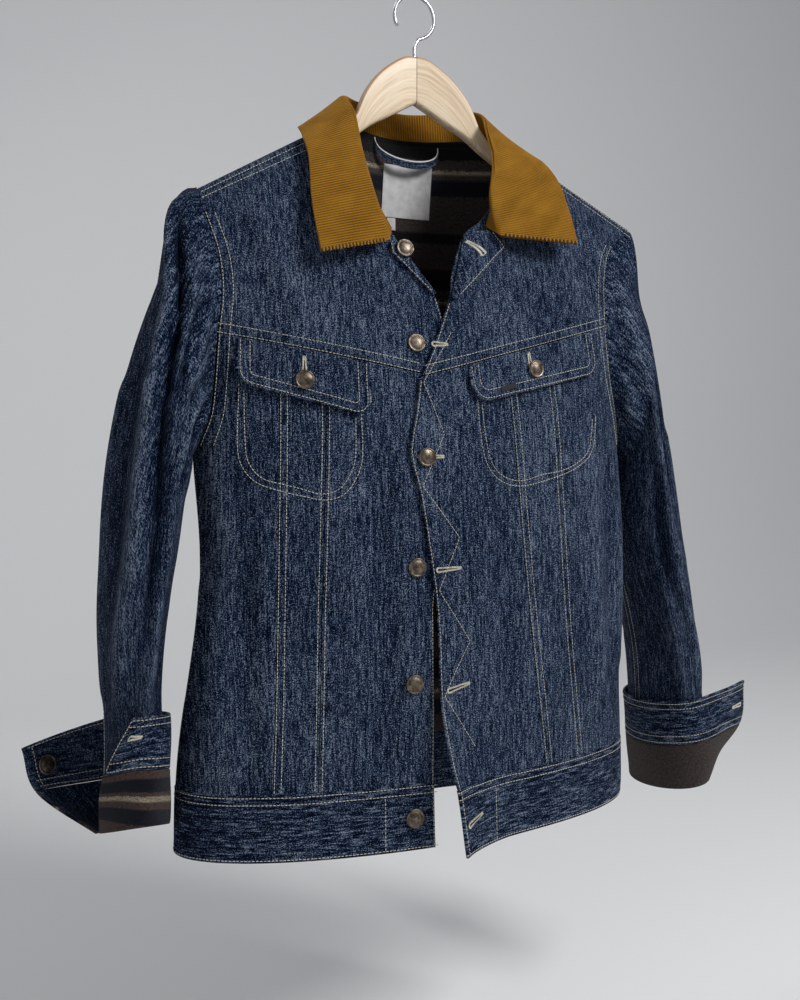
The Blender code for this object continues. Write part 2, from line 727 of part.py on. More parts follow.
def make_locker_loop():
    """A strip of denim, its ends sewn in under the collar seam, hanging in a curve."""
    ends = Vector((-3.3, 2.15, -14.2)), Vector((3.6, 2.05, -14.6))

    def surface(u, v):
        angle = math.pi * u
        middle = (ends[0] + ends[1]) / 2
        half = (ends[1] - ends[0]) / 2
        hang = 1.9 * math.sin(angle) ** 0.8 if 0 < angle < math.pi else 0.0
        place = middle - half * math.cos(angle)
        bow = 0.5 * math.sin(min(max(angle, 0.0), math.pi))
        return Vector((place.x, place.y - bow, place.z - hang - mix(-0.42, 0.42, v)))

    wall("locker_loop", surface, spaced(16), spaced(1), 0.12, "denim", side=1)


# --- Pockets -------------------------------------------------------------------------------------


def flap_lift(share):
    """How far a flap's outer face stands off its panel, a share of the way down."""
    return FLAP_LIFT + 0.28 * max(0.0, share) ** 1.5


def make_flaps():
    for side in ("right", "left"):
        sign = SIGN[side]
        flap = FLAP[side]
        seam = YOKE_SEAM[side]

        def surface(u, v):
            x = mix(flap.inner, flap.outer, u)
            drop = mix(flap.inner_drop, flap.outer_drop, u)
            width = abs(flap.outer - flap.inner)
            near = min(u, 1 - u) * width
            if near < flap.corner:
                short = flap.corner - math.sqrt(max(0.0, flap.corner**2 - (flap.corner - near) ** 2))
                drop -= short
            z = seam_height(seam, x) - FLAP_TOP - drop * v
            return front_point(side, x, z, flap_lift(v))

        ends = [0.0, 0.02, 0.06, 0.12]
        across = ends + [mix(0.12, 0.88, t) for t in spaced(6)[1:-1]] + [1 - e for e in ends[::-1]]
        wall(f"pocket_flap_{side}", surface, across, spaced(4), 0.2, "denim", side=-sign)

    def tab(u, v):
        x = mix(3.4, 5.1, u)
        lift = flap_lift(mix(2.85, 3.35, v) / 3.7) + 0.10
        return front_point("left", x, seam_height(YOKE_SEAM["left"], x) - mix(2.85, 3.35, v), lift)

    wall("flap_tab", tab, spaced(2), spaced(1), 0.06, "dark_tab", side=-1)


# --- Sleeves and cuffs ---------------------------------------------------------------------------

arms = {}
for hand, rows in SLEEVE.items():
    arms[hand] = columns(rows)


def armhole_point(side, angle):
    """The armhole seam: angle 0 at the shoulder, a quarter turn to the back, then the armpit."""
    middle, half = (ARMHOLE[0].z + ARMPIT) / 2, (ARMHOLE[0].z - ARMPIT) / 2
    z = middle + half * math.cos(angle)
    facing = 1 if math.sin(angle) > 0 else -1
    name = ("back_" if facing > 0 else "front_") + side
    x = SIGN[side] * (getattr(armhole, name)(z) + 0.06)
    return Vector((x, cloth_y(x, z, facing), z))


def sleeve_section(side, angle, z):
    """A section of the sleeve: the outer side at angle 0, the back a quarter turn on."""
    arm = arms[side]
    tilt = math.radians(arm.tilt(z))
    out = Vector((SIGN[side] * math.cos(tilt), 0, math.sin(tilt)))
    middle = Vector((SIGN[side] * arm.x(z), arm.y(z), z))
    along = arm.depth(z) * math.sin(angle)
    return middle + out * (arm.across(z) * math.cos(angle)) + Vector((0, along, arm.lean(z) * along))


def sleeve_point(side, round_share, down):
    """A point of the sleeve, a share round from its outer side by the back, and a share down."""
    angle = 2 * math.pi * round_share
    rows = SLEEVE[side]
    head = 0.16
    if down < head:
        t = max(0.0, down / head)
        start = armhole_point(side, angle)
        end = sleeve_section(side, angle, rows[0].z)
        high = 0.5 + 0.5 * math.cos(angle)
        full = mix(0.45, CAP_FULLNESS[side], high**3)
        out = Vector((SIGN[side], 0, 0.45 * math.cos(angle)))
        return start.lerp(end, t) + out * (full * math.sin(math.pi * t**0.6))
    return sleeve_section(side, angle, mix(rows[0].z, rows[-1].z, (down - head) / (1 - head)))


def make_sleeves():
    """Two pieces each, joined by the seam that ends in the cuff's slit and by the under-arm seam."""
    outer_seam, under_seam = SLEEVE_SEAMS
    down = [0.0, 0.025, 0.07, 0.16] + [mix(0.16, 1.0, t) for t in spaced(13)[1:]]
    front_across = [0, 0.14, 0.28, 0.40, 0.50, 0.58, 0.645, 0.69, 0.72, 0.75, 0.78, 0.87, 1.0]
    for side in ("right", "left"):
        sign = SIGN[side]

        def back_half(u, v):
            return sleeve_point(side, mix(outer_seam + 0.0015, under_seam - 0.0015, u), v)

        def front_half(u, v):
            return sleeve_point(side, mix(under_seam + 0.0015, outer_seam + 1 - 0.0015, u), v)

        wall(f"sleeve_back_{side}", back_half, spaced(8), down, PANEL, "denim", side=-sign)
        wall(f"sleeve_front_{side}", front_half, front_across, down, PANEL, "denim", side=-sign)


cuffs = {}
for hand, rows in CUFF.items():
    cuffs[hand] = columns(rows, "level")


def cuff_point(side, along, level):
    """A point of a turned-back cuff, a share along it from its back end round to its front end."""
    cuff, arm, sign = cuffs[side], arms[side], SIGN[side]
    start, end, z = cuff.back_end(level), cuff.front_end(level), cuff.z(level)
    share = mix(start, end, along)
    angle = 2 * math.pi * share
    back = max(0.0, 1 - (share - start) / 0.27) ** 1.6
    front = max(0.0, 1 - (end - share) / 0.25) ** 1.6
    across = (arm.across(z) + cuff.stand(level)) * math.cos(angle)
    depth = (arm.depth(z) + cuff.stand(level)) * math.sin(angle)
    depth += cuff.back_away(level) * back - cuff.front_near(level) * front
    height = z + arm.lean(z) * depth + CUFF_ROLL[side] * across - cuff.back_drop(level) * back
    across += cuff.back_out(level) * back + cuff.front_out(level) * front
    return Vector((sign * (arm.x(z) + across), arm.y(z) + depth, height))


def make_cuffs():
    """The sleeve's end is turned back: its lining shows, then the cuff, slit at the outer side."""
    ends = [0.0, 0.03, 0.07]
    across = ends + [mix(0.12, 0.88, t) for t in spaced(16)] + [1 - e for e in ends[::-1]]
    for side in ("right", "left"):
        sign = SIGN[side]

        def lining(u, v):
            return cuff_point(side, u, mix(0.0, 0.994, v))

        def band(u, v):
            return cuff_point(side, u, mix(1.002, 2.0, v))

        wall(f"turned_lining_{side}", lining, across, spaced(3), BLANKET, "blanket", side=sign)
        wall(f"cuff_{side}", band, across, spaced(2), BAND, "denim", side=sign)


# --- Buttons -------------------------------------------------------------------------------------


def make_button(name, place, normal, radius=BUTTON_RADIUS):
    """A domed metal button: a turned profile with a rim, set on the cloth."""
    profile = [(0.30, 0.0), (0.30, 0.14), (1.0, 0.17), (1.0, 0.30), (0.60, 0.42)]
    bm = bmesh.new()
    line = [bm.verts.new((share * radius, 0, height)) for share, height in profile]
    edges = [bm.edges.new(pair) for pair in zip(line, line[1:])]
    bmesh.ops.spin(
        bm, geom=line + edges, cent=(0, 0, 0), axis=(0, 0, 1), angle=2 * math.pi, steps=12, use_merge=True
    )
    bmesh.ops.remove_doubles(bm, verts=bm.verts, dist=1e-4)
    bmesh.ops.holes_fill(bm, edges=[e for e in bm.edges if e.is_boundary])
    spin = Vector((0, 0, 1)).rotation_difference(normal).to_matrix().to_4x4()
    bmesh.ops.transform(bm, matrix=spin, verts=bm.verts)
    bmesh.ops.translate(bm, vec=place + normal * GAP, verts=bm.verts)
    add_piece(name, bm, "bronze")


def front_button(name, side, x, z, lift):
    base = front_point(side, x, z, lift)
    make_button(name, base, (front_point(side, x, z, lift + 1) - base).normalized())


def make_buttons():
    for side, x, z, lift, label in FRONT_BUTTONS:
        front_button(f"button_{label}", side, x, z, lift)
    for side, x, drop in FLAP_BUTTONS:
        z = seam_height(YOKE_SEAM[side], x) - FLAP_TOP - drop
        base = front_point(side, x, z, flap_lift(drop / FLAP["left"].inner_drop))
        normal = (front_point(side, x, z, 2.0) - front_point(side, x, z, 0.0)).normalized()
        make_button(f"button_flap_{side}", base, normal)
    for side in ("right", "left"):

        def inside(u, v):
            return cuff_point(side, 0.05 + u, 1.5 + v)

        normal = outward(inside, 0.0, 0.0, -SIGN[side])
        make_button(f"button_cuff_{side}", inside(0.0, 0.0) + normal * (BAND + 0.05), normal)


# --- Hanger --------------------------------------------------------------------------------------


def make_hanger():
    """Two halves glued at the middle, each sweeping forward to its end, their edges rounded."""
    corner, half = 0.36, HANGER_THICK / 2
    profile = [(half, 0.0), (half - 0.12, corner * 0.7), (half - corner, corner)]
    for side in ("right", "left"):
        sign = SIGN[side]
        bm = bmesh.new()
        rings = []
        for row in HANGER:
            x = sign * max(row.x, GAP / 2)
            y = -HANGER_SWEEP * (row.x / 21.5) ** 1.2
            ring = []
            for edge_z, turn in ((row.top - corner, 1), (row.bottom + corner, -1)):
                line = [(dy, edge_z + turn * dz) for dy, dz in profile]
                line = line[:: 1 if turn > 0 else -1]
                line = line + [(-dy, z) for dy, z in line[::-1]] if turn > 0 else line
                ring += line if turn > 0 else [(-dy, z) for dy, z in line[::-1]] + line
            points = sorted(set(ring), key=lambda p: math.atan2(p[1] - (row.top + row.bottom) / 2, p[0]))
            rings.append([bm.verts.new((x, y + dy, z)) for dy, z in points])
        count = len(rings[0])
        for a, b in zip(rings, rings[1:]):
            for k in range(count):
                bm.faces.new([a[k], a[(k + 1) % count], b[(k + 1) % count], b[k]])
        bm.faces.new(rings[0])
        bm.faces.new(rings[-1][::-1])
        add_piece(f"hanger_{side}", bm, "wood")


def make_hook():
    """Wire: up from the wood, then round over the rod it hangs from."""
    centre = Vector((0, 0, -HOOK_RADIUS))
    radius = HOOK_RADIUS + WIRE
    stem_foot = Vector((0, 0, HANGER[0].top + GAP))
    points = [stem_foot.lerp(Vector((0, 0, -4.9)), t) for t in spaced(3)]
    for degrees in range(-78, 216, 12):
        angle = math.radians(degrees)
        points.append(centre + Vector((radius * math.cos(angle), 0, radius * math.sin(angle))))
    curve = bpy.data.curves.new("hook", "CURVE")
    curve.dimensions = "3D"
    curve.bevel_depth = WIRE * CM
    curve.bevel_resolution = 2
    curve.use_fill_caps = True
    spline = curve.splines.new("POLY")
    spline.points.add(len(points) - 1)
    for knot, place in zip(spline.points, points):
        knot.co = (*(place * CM), 1.0)
    curve.materials.append(finish("steel"))
    bpy.context.scene.collection.objects.link(bpy.data.objects.new("hook", curve))


# --- The jacket ----------------------------------------------------------------------------------

for old in list(bpy.data.objects):
    bpy.data.objects.remove(old, do_unlink=True)

make_front_yokes()
make_front_panels()
make_back_yoke()
make_back_panels()
make_hem_band()
make_collar()
make_lapels()
make_back_lining()
make_neck_label()
make_locker_loop()
make_flaps()
make_sleeves()
make_cuffs()
make_buttons()
make_hanger()
make_hook()
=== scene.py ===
# %% [markdown]
# A cropped denim jacket with a corduroy collar hangs on a wooden hanger. The solid model gives every
# piece at its real size. This script lays finer cloth over that form: creases, thread, weave, nap and
# the wood's grain. Lengths in the tables are centimetres, and meshes are made in metres.

import math
from collections import namedtuple

import bmesh
import bpy
import numpy as np
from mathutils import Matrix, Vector


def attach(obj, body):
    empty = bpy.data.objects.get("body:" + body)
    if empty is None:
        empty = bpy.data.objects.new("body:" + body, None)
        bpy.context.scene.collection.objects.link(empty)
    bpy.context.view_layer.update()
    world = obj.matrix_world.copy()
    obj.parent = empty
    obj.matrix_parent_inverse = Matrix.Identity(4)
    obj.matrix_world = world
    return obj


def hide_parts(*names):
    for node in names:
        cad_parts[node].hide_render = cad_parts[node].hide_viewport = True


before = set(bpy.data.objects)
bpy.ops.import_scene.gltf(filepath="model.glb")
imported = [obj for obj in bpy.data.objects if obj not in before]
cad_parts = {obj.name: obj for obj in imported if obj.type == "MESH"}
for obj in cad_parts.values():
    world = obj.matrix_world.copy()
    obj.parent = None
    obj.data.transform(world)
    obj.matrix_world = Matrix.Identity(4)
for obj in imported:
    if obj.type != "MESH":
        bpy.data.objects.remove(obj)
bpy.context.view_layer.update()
CM = 0.01
SIGN = {"right": -1, "left": 1}
rng = np.random.default_rng(7)
print("solid pieces:", len(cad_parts))

# %% [markdown]
# The jacket's form is kept as a few tables: body sections, the armhole, the front edges, the neckline
# and the arms. One could store thousands of points instead, but a table of sections with a smooth
# curve through each column is easier to read and to correct. The readers below take whole arrays, so
# that a finely divided panel costs no more code than one point.

# %% Tables of the cut
Section = namedtuple("Section", "z right left side front back")
BODY = [
    Section(-13.0, 30.0, 30.0, -3.3, 7.2, 6.6),
    Section(-22.0, 27.0, 26.5, -3.3, 7.2, 6.6),
    Section(-30.0, 24.8, 23.8, -3.3, 7.2, 6.6),
    Section(-36.0, 23.4, 21.8, -3.3, 7.2, 6.6),
    Section(-44.0, 23.2, 21.4, -3.4, 8.0, 7.0),
    Section(-52.0, 22.6, 21.4, -3.5, 8.4, 7.0),
    Section(-60.0, 22.8, 21.3, -3.6, 8.5, 6.9),
    Section(-68.0, 24.2, 21.2, -3.7, 8.6, 6.8),
    Section(-74.4, 24.9, 21.2, -3.8, 8.6, 6.7),
    Section(-82.0, 25.1, 21.2, -3.8, 8.6, 6.6),
]
Armhole = namedtuple("Armhole", "z front_right front_left back_right back_left")
ARMHOLE = [
    Armhole(-21.9, 23.00, 23.00, 23.00, 23.00),
    Armhole(-22.6, 23.00, 22.60, 23.00, 23.00),
    Armhole(-23.4, 22.95, 21.20, 22.70, 22.20),
    Armhole(-24.6, 22.60, 19.60, 22.10, 21.30),
    Armhole(-27.6, 21.75, 18.30, 21.20, 20.30),
    Armhole(-31.2, 21.45, 17.90, 20.80, 19.70),
    Armhole(-34.6, 21.75, 18.10, 20.90, 19.60),
    Armhole(-38.1, 21.95, 18.80, 21.20, 19.90),
    Armhole(-41.6, 22.25, 20.00, 21.90, 20.50),
    Armhole(-44.2, 22.75, 20.90, 22.60, 21.00),
    Armhole(-45.5, 23.15, 21.40, 23.15, 21.40),
]
Edge = namedtuple("Edge", "z left right forward")
FRONT_EDGE = [
    Edge(-31.5, -0.9, -1.6, 0.0),
    Edge(-33.1, -2.3, -1.3, 0.0),
    Edge(-35.2, -3.5, -1.1, 0.0),
    Edge(-37.0, -4.4, -1.0, 0.0),
    Edge(-41.3, -5.2, -0.9, 0.0),
    Edge(-45.3, -6.0, -0.9, 0.0),
    Edge(-48.7, -5.2, -1.2, 0.0),
    Edge(-53.4, -4.5, -2.3, 0.0),
    Edge(-57.8, -3.9, -3.7, 0.0),
    Edge(-61.7, -3.7, -3.85, 0.15),
    Edge(-66.4, -3.85, -3.9, 0.6),
    Edge(-69.0, -3.8, -3.9, 1.2),
    Edge(-72.7, -3.45, -3.95, 2.1),
    Edge(-75.0, -3.0, -3.95, 2.6),
    Edge(-82.0, -2.2, -3.75, 3.2),
]
Neck = namedtuple("Neck", "share right_x right_z left_x left_z")
NECKLINE = [
    Neck(0.00, -9.6, -14.8, 9.6, -14.8),
    Neck(0.22, -8.4, -17.4, 7.9, -17.2),
    Neck(0.42, -8.1, -20.4, 6.0, -20.2),
    Neck(0.58, -7.1, -23.4, 3.6, -23.2),
    Neck(0.70, -5.6, -25.9, 1.3, -25.0),
    Neck(0.80, -4.4, -28.6, -0.4, -28.5),
    Neck(0.90, -2.3, -31.2, -1.3, -31.6),
    Neck(1.00, -1.0, -38.87, -4.5, -38.5),
]
Line = namedtuple("Line", "x0 z0 x1 z1")
YOKE_SEAM = {"right": Line(-21.8, -34.9, -4.5, -38.2), "left": Line(17.6, -32.9, -4.5, -38.5)}
OUTER_SEAM = {"right": Line(-16.75, -41.6, -17.6, -74.4), "left": Line(9.7, -39.4, 12.6, -74.4)}
INNER_SEAM = {"right": Line(-13.2, -41.7, -14.15, -74.4), "left": Line(5.0, -40.4, 8.4, -74.4)}
Drift = namedtuple("Drift", "z outer_right inner_right inner_left outer_left")
SEAM_DRIFT = [
    Drift(-41.0, -0.33, 0.00, -0.29, 0.10),
    Drift(-50.0, -0.28, -0.07, -0.62, -0.35),
    Drift(-61.0, -0.24, -0.13, -0.68, -0.45),
    Drift(-75.0, -0.45, -0.18, -0.50, -0.14),
]
SEAM_ROWS = {
    "outer_right": (0.09, 0.63),
    "inner_right": (-0.30, 0.30),
    "inner_left": (0.13, 0.77),
    "outer_left": (-0.30, 0.30),
}
BACK_SEAM = {"right": Line(-12.5, -31.0, -8.5, -74.4), "left": Line(12.5, -31.0, 8.5, -74.4)}

GAP = 0.03
PANEL, DENIM, BAND, BLANKET, CORD = 0.22, 0.16, 0.34, 0.26, 0.30
NECK_HALF, BACK_NECK_HALF, NECK_TOP = 8.0, 9.2, -13.2
SHOULDER_HALF, SHOULDER_SLOPE, SHOULDER_SEAM = 23.0, 8.8 / 15.0, 0.17
YOKE_LEVEL, BACK_YOKE_Z, BAND_TOP, HEM, ARMPIT = -36.0, -31.0, -74.4, -80.2, -45.5
NECK_CHAMFER, RIDGE_RADIUS = 1.6, 1.25


def reader(rows, column, key):
    """A smooth curve through one column of a table, read at any array of its key column."""
    keys = np.array([getattr(row, key) for row in rows], float)
    values = np.array([getattr(row, column) for row in rows], float)
    if keys[0] > keys[-1]:
        keys, values = keys[::-1], values[::-1]
    after = np.minimum(np.arange(len(keys)) + 1, len(keys) - 1)
    before = np.maximum(np.arange(len(keys)) - 1, 0)
    tail = (1,) * (values.ndim - 1)
    slopes = (values[after] - values[before]) / (keys[after] - keys[before]).reshape(-1, *tail)

    def read(at):
        at = np.clip(np.asarray(at, float), keys[0], keys[-1])
        i = np.clip(np.searchsorted(keys, at, side="right") - 1, 0, len(keys) - 2)
        width = (keys[i + 1] - keys[i]).reshape(at.shape + tail)
        t = (at - keys[i]).reshape(at.shape + tail) / width
        rise = t * t * (3 - 2 * t)
        ends = values[i] * (1 - rise) + values[i + 1] * rise
        return ends + width * (slopes[i] * t * (1 - t) ** 2 - slopes[i + 1] * t * t * (1 - t))

    return read


def columns(rows, key="z"):
    names = [name for name in rows[0]._fields if name != key]
    return namedtuple("Readers", names)(*(reader(rows, name, key) for name in names))


body, armhole, edge = columns(BODY), columns(ARMHOLE), columns(FRONT_EDGE)
neckline = columns(NECKLINE, "share")
drift = columns(SEAM_DRIFT)
front_edge = {"right": edge.right, "left": edge.left}
print("body sections:", len(BODY), "armhole rows:", len(ARMHOLE))


# %% [markdown]
# The front and the back are two halves of one rounded section. At the top they rise to the shoulder's
# ridge over the hanger, on a curve like a parabola, so that the cloth rolls over instead of folding.


# %% The body's surface
def ease(t):
    t = np.clip(t, 0.0, 1.0)
    return t * t * (3 - 2 * t)


def mix(a, b, t):
    return a + (b - a) * t


def xyz(x, y, z):
    return np.stack(np.broadcast_arrays(x, y, z), axis=-1).astype(float)


def along_line(line, z):
    return mix(line.x0, line.x1, (z - line.z0) / (line.z1 - line.z0))


def long_seam(name, z):
    """Where one of the fronts' four long seams runs: its line, and how it hangs off that."""
    kind, side = name.split("_")
    line = (INNER_SEAM if kind == "inner" else OUTER_SEAM)[side]
    return along_line(line, z) + getattr(drift, name)(z)


def seam_height(line, x):
    return mix(line.z0, line.z1, (x - line.x0) / (line.x1 - line.x0))


def half_width(x, z):
    return np.where(np.asarray(x) < 0, body.right(z), body.left(z))


def ridge_height(x):
    return NECK_TOP - SHOULDER_SLOPE * np.maximum(0.0, np.abs(x) - NECK_HALF)


def cloth_y(x, z, facing):
    """Y of the front (facing -1) or back (+1), at a point of the outline."""
    share = np.minimum(1.0, np.abs(x) / half_width(x, z))
    depth = np.where(facing < 0, body.front(z), body.back(z))
    section = body.side(z) + facing * depth * np.sqrt(1 - share * share)
    start = -1.0 - 2.5 * np.maximum(0.0, (np.abs(x) - NECK_HALF) / (SHOULDER_HALF - NECK_HALF))
    bow = np.maximum(0.0, np.cos(np.pi / 2 * np.clip(x / BACK_NECK_HALF, -1, 1))) ** 1.2
    start = start + np.where(facing > 0, 4.6 * bow, 0.0)
    tall = ridge_height(x) - YOKE_LEVEL
    fall = np.clip((ridge_height(x) - z) / tall, 0.0, 1.0)
    full = np.sqrt(2 * RIDGE_RADIUS * tall) / np.maximum(np.abs(section - start), 2.5) - 1
    full = np.maximum(0.0, full) * ease((np.abs(x) - NECK_HALF) / NECK_CHAMFER) * np.exp(-fall / 0.06)
    return mix(start, section, np.minimum(1.0, np.sqrt(fall) * (1 + full)))


def front_y(side, x, z):
    """The wearer's left front lies on the right one, and its edge swings forward near the hem."""
    y = cloth_y(x, z, -1)
    if side == "left":
        y = y - 0.42 * (1 - ease((x + 1.0) / 5.0))
        y = y - edge.forward(z) * np.exp(-np.maximum(0.0, x - edge.left(z)) / 3.2)
    return y


def shoulder_seam_height(x):
    return ridge_height(x) - SHOULDER_SEAM**2 * (ridge_height(x) - YOKE_LEVEL)


print("chest half width:", round(float(half_width(-1.0, -52.0)), 1), "cm")

# %% [markdown]
# Hung cloth is never smooth. Its creases run from where it is held: the shoulder points, the armpits,
# the pockets and the band. A simulation would give creases too, but not in the places seen here, so
# each main crease is a row: its two ends, its width and how far it stands out or sinks. A slow
# unevenness of a few tenths of a millimetre goes between them.

# %% Creases of the body
Crease = namedtuple("Crease", "x0 z0 x1 z1 width height")
FRONT_CREASES = [
    Crease(-22.3, -44.0, -20.6, -56.0, 1.3, 0.55),
    Crease(-21.0, -45.5, -19.4, -62.0, 1.1, -0.40),
    Crease(-22.8, -58.0, -21.6, -73.0, 1.6, 0.40),
    Crease(-20.2, -55.0, -19.6, -73.5, 1.2, -0.30),
    Crease(-18.9, -52.0, -18.6, -72.0, 0.9, 0.22),
    Crease(-20.8, -24.5, -17.0, -33.0, 1.2, -0.28),
    Crease(-18.5, -23.0, -14.5, -34.0, 1.4, 0.25),
    Crease(-12.0, -24.0, -9.0, -35.5, 1.3, -0.18),
    Crease(-11.6, -50.0, -11.2, -73.0, 1.5, 0.26),
    Crease(-8.6, -42.0, -8.3, -72.0, 1.2, -0.25),
    Crease(-6.6, -47.0, -6.3, -70.0, 0.8, 0.25),
    Crease(3.0, -42.0, 4.4, -72.0, 1.5, -0.20),
    Crease(0.6, -48.0, 2.0, -70.0, 1.2, 0.22),
    Crease(14.6, -47.0, 15.8, -72.0, 1.6, 0.35),
    Crease(17.2, -46.0, 18.4, -70.0, 1.2, -0.35),
    Crease(19.2, -46.5, 20.0, -66.0, 1.2, 0.45),
    Crease(12.5, -21.0, 13.8, -30.5, 1.5, 0.24),
    Crease(8.0, -22.0, 8.6, -33.5, 1.3, -0.22),
    Crease(16.2, -22.5, 15.6, -31.0, 1.1, -0.26),
]
BACK_CREASES = [
    Crease(-20.5, -46.0, -17.5, -62.0, 1.6, 0.45),
    Crease(-17.6, -44.0, -14.6, -66.0, 1.5, -0.35),
    Crease(19.6, -45.0, 17.0, -60.0, 1.6, 0.50),
    Crease(16.8, -43.0, 14.0, -64.0, 1.4, -0.35),
    Crease(-6.0, -34.0, -4.0, -68.0, 2.0, 0.30),
    Crease(-1.5, -40.0, -0.5, -72.0, 1.6, -0.30),
    Crease(4.6, -33.0, 3.6, -60.0, 1.8, 0.26),
    Crease(8.0, -20.0, 15.0, -29.0, 1.8, -0.25),
    Crease(-8.0, -20.0, -15.0, -29.0, 1.8, -0.25),
    Crease(-10.0, -60.0, -20.0, -72.0, 1.5, 0.30),
    Crease(11.0, -62.0, 18.5, -71.0, 1.5, 0.28),
]
Wave = namedtuple("Wave", "across down start size")
WAVES = [
    Wave(0.31, 0.07, 0.4, 0.050),
    Wave(0.53, -0.11, 2.1, 0.035),
    Wave(0.17, 0.23, 4.4, 0.040),
    Wave(0.9, 0.31, 1.3, 0.018),
]


def crease_height(rows, a, b):
    """How far the cloth stands out at the flat places (a, b), in a table of creases."""
    total = np.zeros(np.broadcast(a, b).shape)
    for row in rows:
        ax, az = row.x1 - row.x0, row.z1 - row.z0
        t = np.clip(((a - row.x0) * ax + (b - row.z0) * az) / (ax * ax + az * az), 0, 1)
        off = np.hypot(a - row.x0 - t * ax, b - row.z0 - t * az)
        swell = 0.35 + 0.65 * np.sin(np.pi * np.clip(t * 0.84 + 0.10, 0, 1)) ** 0.8
        total += row.height * swell * np.exp(-((off / row.width) ** 2))
    return total


def unevenness(a, b):
    return sum(wave.size * np.sin(wave.across * a + wave.down * b + wave.start) for wave in WAVES)


def body_crease(x, z, facing):
    rows = FRONT_CREASES if facing < 0 else BACK_CREASES
    held = ease((z - HEM) / 1.5) * 0.8 + 0.2
    ridge = ease((ridge_height(x) - z - 0.6) / 4.0)
    return (crease_height(rows, x, z) + unevenness(x, z)) * held * ridge


def lifted(surface, u, v, lift, step=0.02):
    """surface(u, v) moved along its normal, where lift is a number or an array."""
    across = surface(u + step, v) - surface(u - step, v)
    down = surface(u, v + step) - surface(u, v - step)
    normal = np.cross(across, down)
    normal /= np.linalg.norm(normal, axis=-1, keepdims=True)
    return surface(u, v) + normal * np.asarray(lift)[..., None]


def front_face(side, x, z, lift=0.0):
    """The front's outer face with its creases, and lift in front of it."""

    def surface(x, z):
        return xyz(x, front_y(side, x, z), z)

    x, z = np.broadcast_arrays(np.asarray(x, float), np.asarray(z, float))
    return lifted(surface, x, z, body_crease(x, z, -1) + lift)


def back_face(x, z, lift=0.0):
    def surface(x, z):
        return xyz(x, cloth_y(x, z, 1), z)

    x, z = np.broadcast_arrays(np.asarray(x, float), np.asarray(z, float))
    return lifted(surface, x, z, -body_crease(x, z, 1) - np.asarray(lift))


print("creases:", len(FRONT_CREASES), "in front,", len(BACK_CREASES), "behind")

# %% [markdown]
# Every panel is a thin wall. A grid of points gives its outer face; the grid's own normals give the
# inner one. Blender's Solidify modifier would do this as well, but then the inner face couldn't have
# its own lining material and the cut edges their own rounding, so the wall is extruded and its rims
# are bevelled. Two maps go with it: "grain", in centimetres along and across the yarns, and "rim",
# the distance to the nearest edges.


# %% Making a wall of cloth
def unit_normals(grid, side):
    normal = np.cross(np.gradient(grid, axis=0), np.gradient(grid, axis=1)) * side
    return normal / np.maximum(np.linalg.norm(normal, axis=-1, keepdims=True), 1e-9)


def run_lengths(grid, axis):
    """Distance along each row of the grid from its start."""
    steps = np.linalg.norm(np.diff(grid, axis=axis), axis=-1)
    start = np.zeros_like(np.take(steps, [0], axis=axis))
    return np.concatenate([start, np.cumsum(steps, axis=axis)], axis=axis)


GIRTH_X = np.linspace(-25.5, 25.5, 1021)
GIRTH_Y = -8.3 * np.sqrt(1 - np.clip(np.abs(GIRTH_X) / 25.6, 0, 1) ** 2)
GIRTH = np.concatenate([[0], np.cumsum(np.hypot(np.diff(GIRTH_X), np.diff(GIRTH_Y)))])


def grain_of(grid, turned=False):
    """Yarn coordinates of a body panel: the warp hangs plumb, or runs round it when turned. Over the
    shoulder it bends away, so its length there is measured along the cloth."""
    around = np.interp(grid[..., 0], GIRTH_X, GIRTH)
    z = grid[..., 2]
    if turned:
        return z, around
    down = run_lengths(grid, 1)
    bent = ease((z + 34.0) / 4.0)
    return around, mix(z, z[:, -1:] + down[:, -1:] - down, bent)


def finish_piece(name, bm, materials, smooth_angle=50):
    bmesh.ops.scale(bm, vec=(CM, CM, CM), verts=bm.verts)
    mesh = bpy.data.meshes.new(name)
    bm.to_mesh(mesh)
    bm.free()
    for material in materials:
        mesh.materials.append(material)
    mesh.shade_smooth()
    mesh.set_sharp_from_angle(angle=math.radians(smooth_angle))
    piece = bpy.data.objects.new(name, mesh)
    bpy.context.scene.collection.objects.link(piece)
    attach(piece, "root")
    return piece


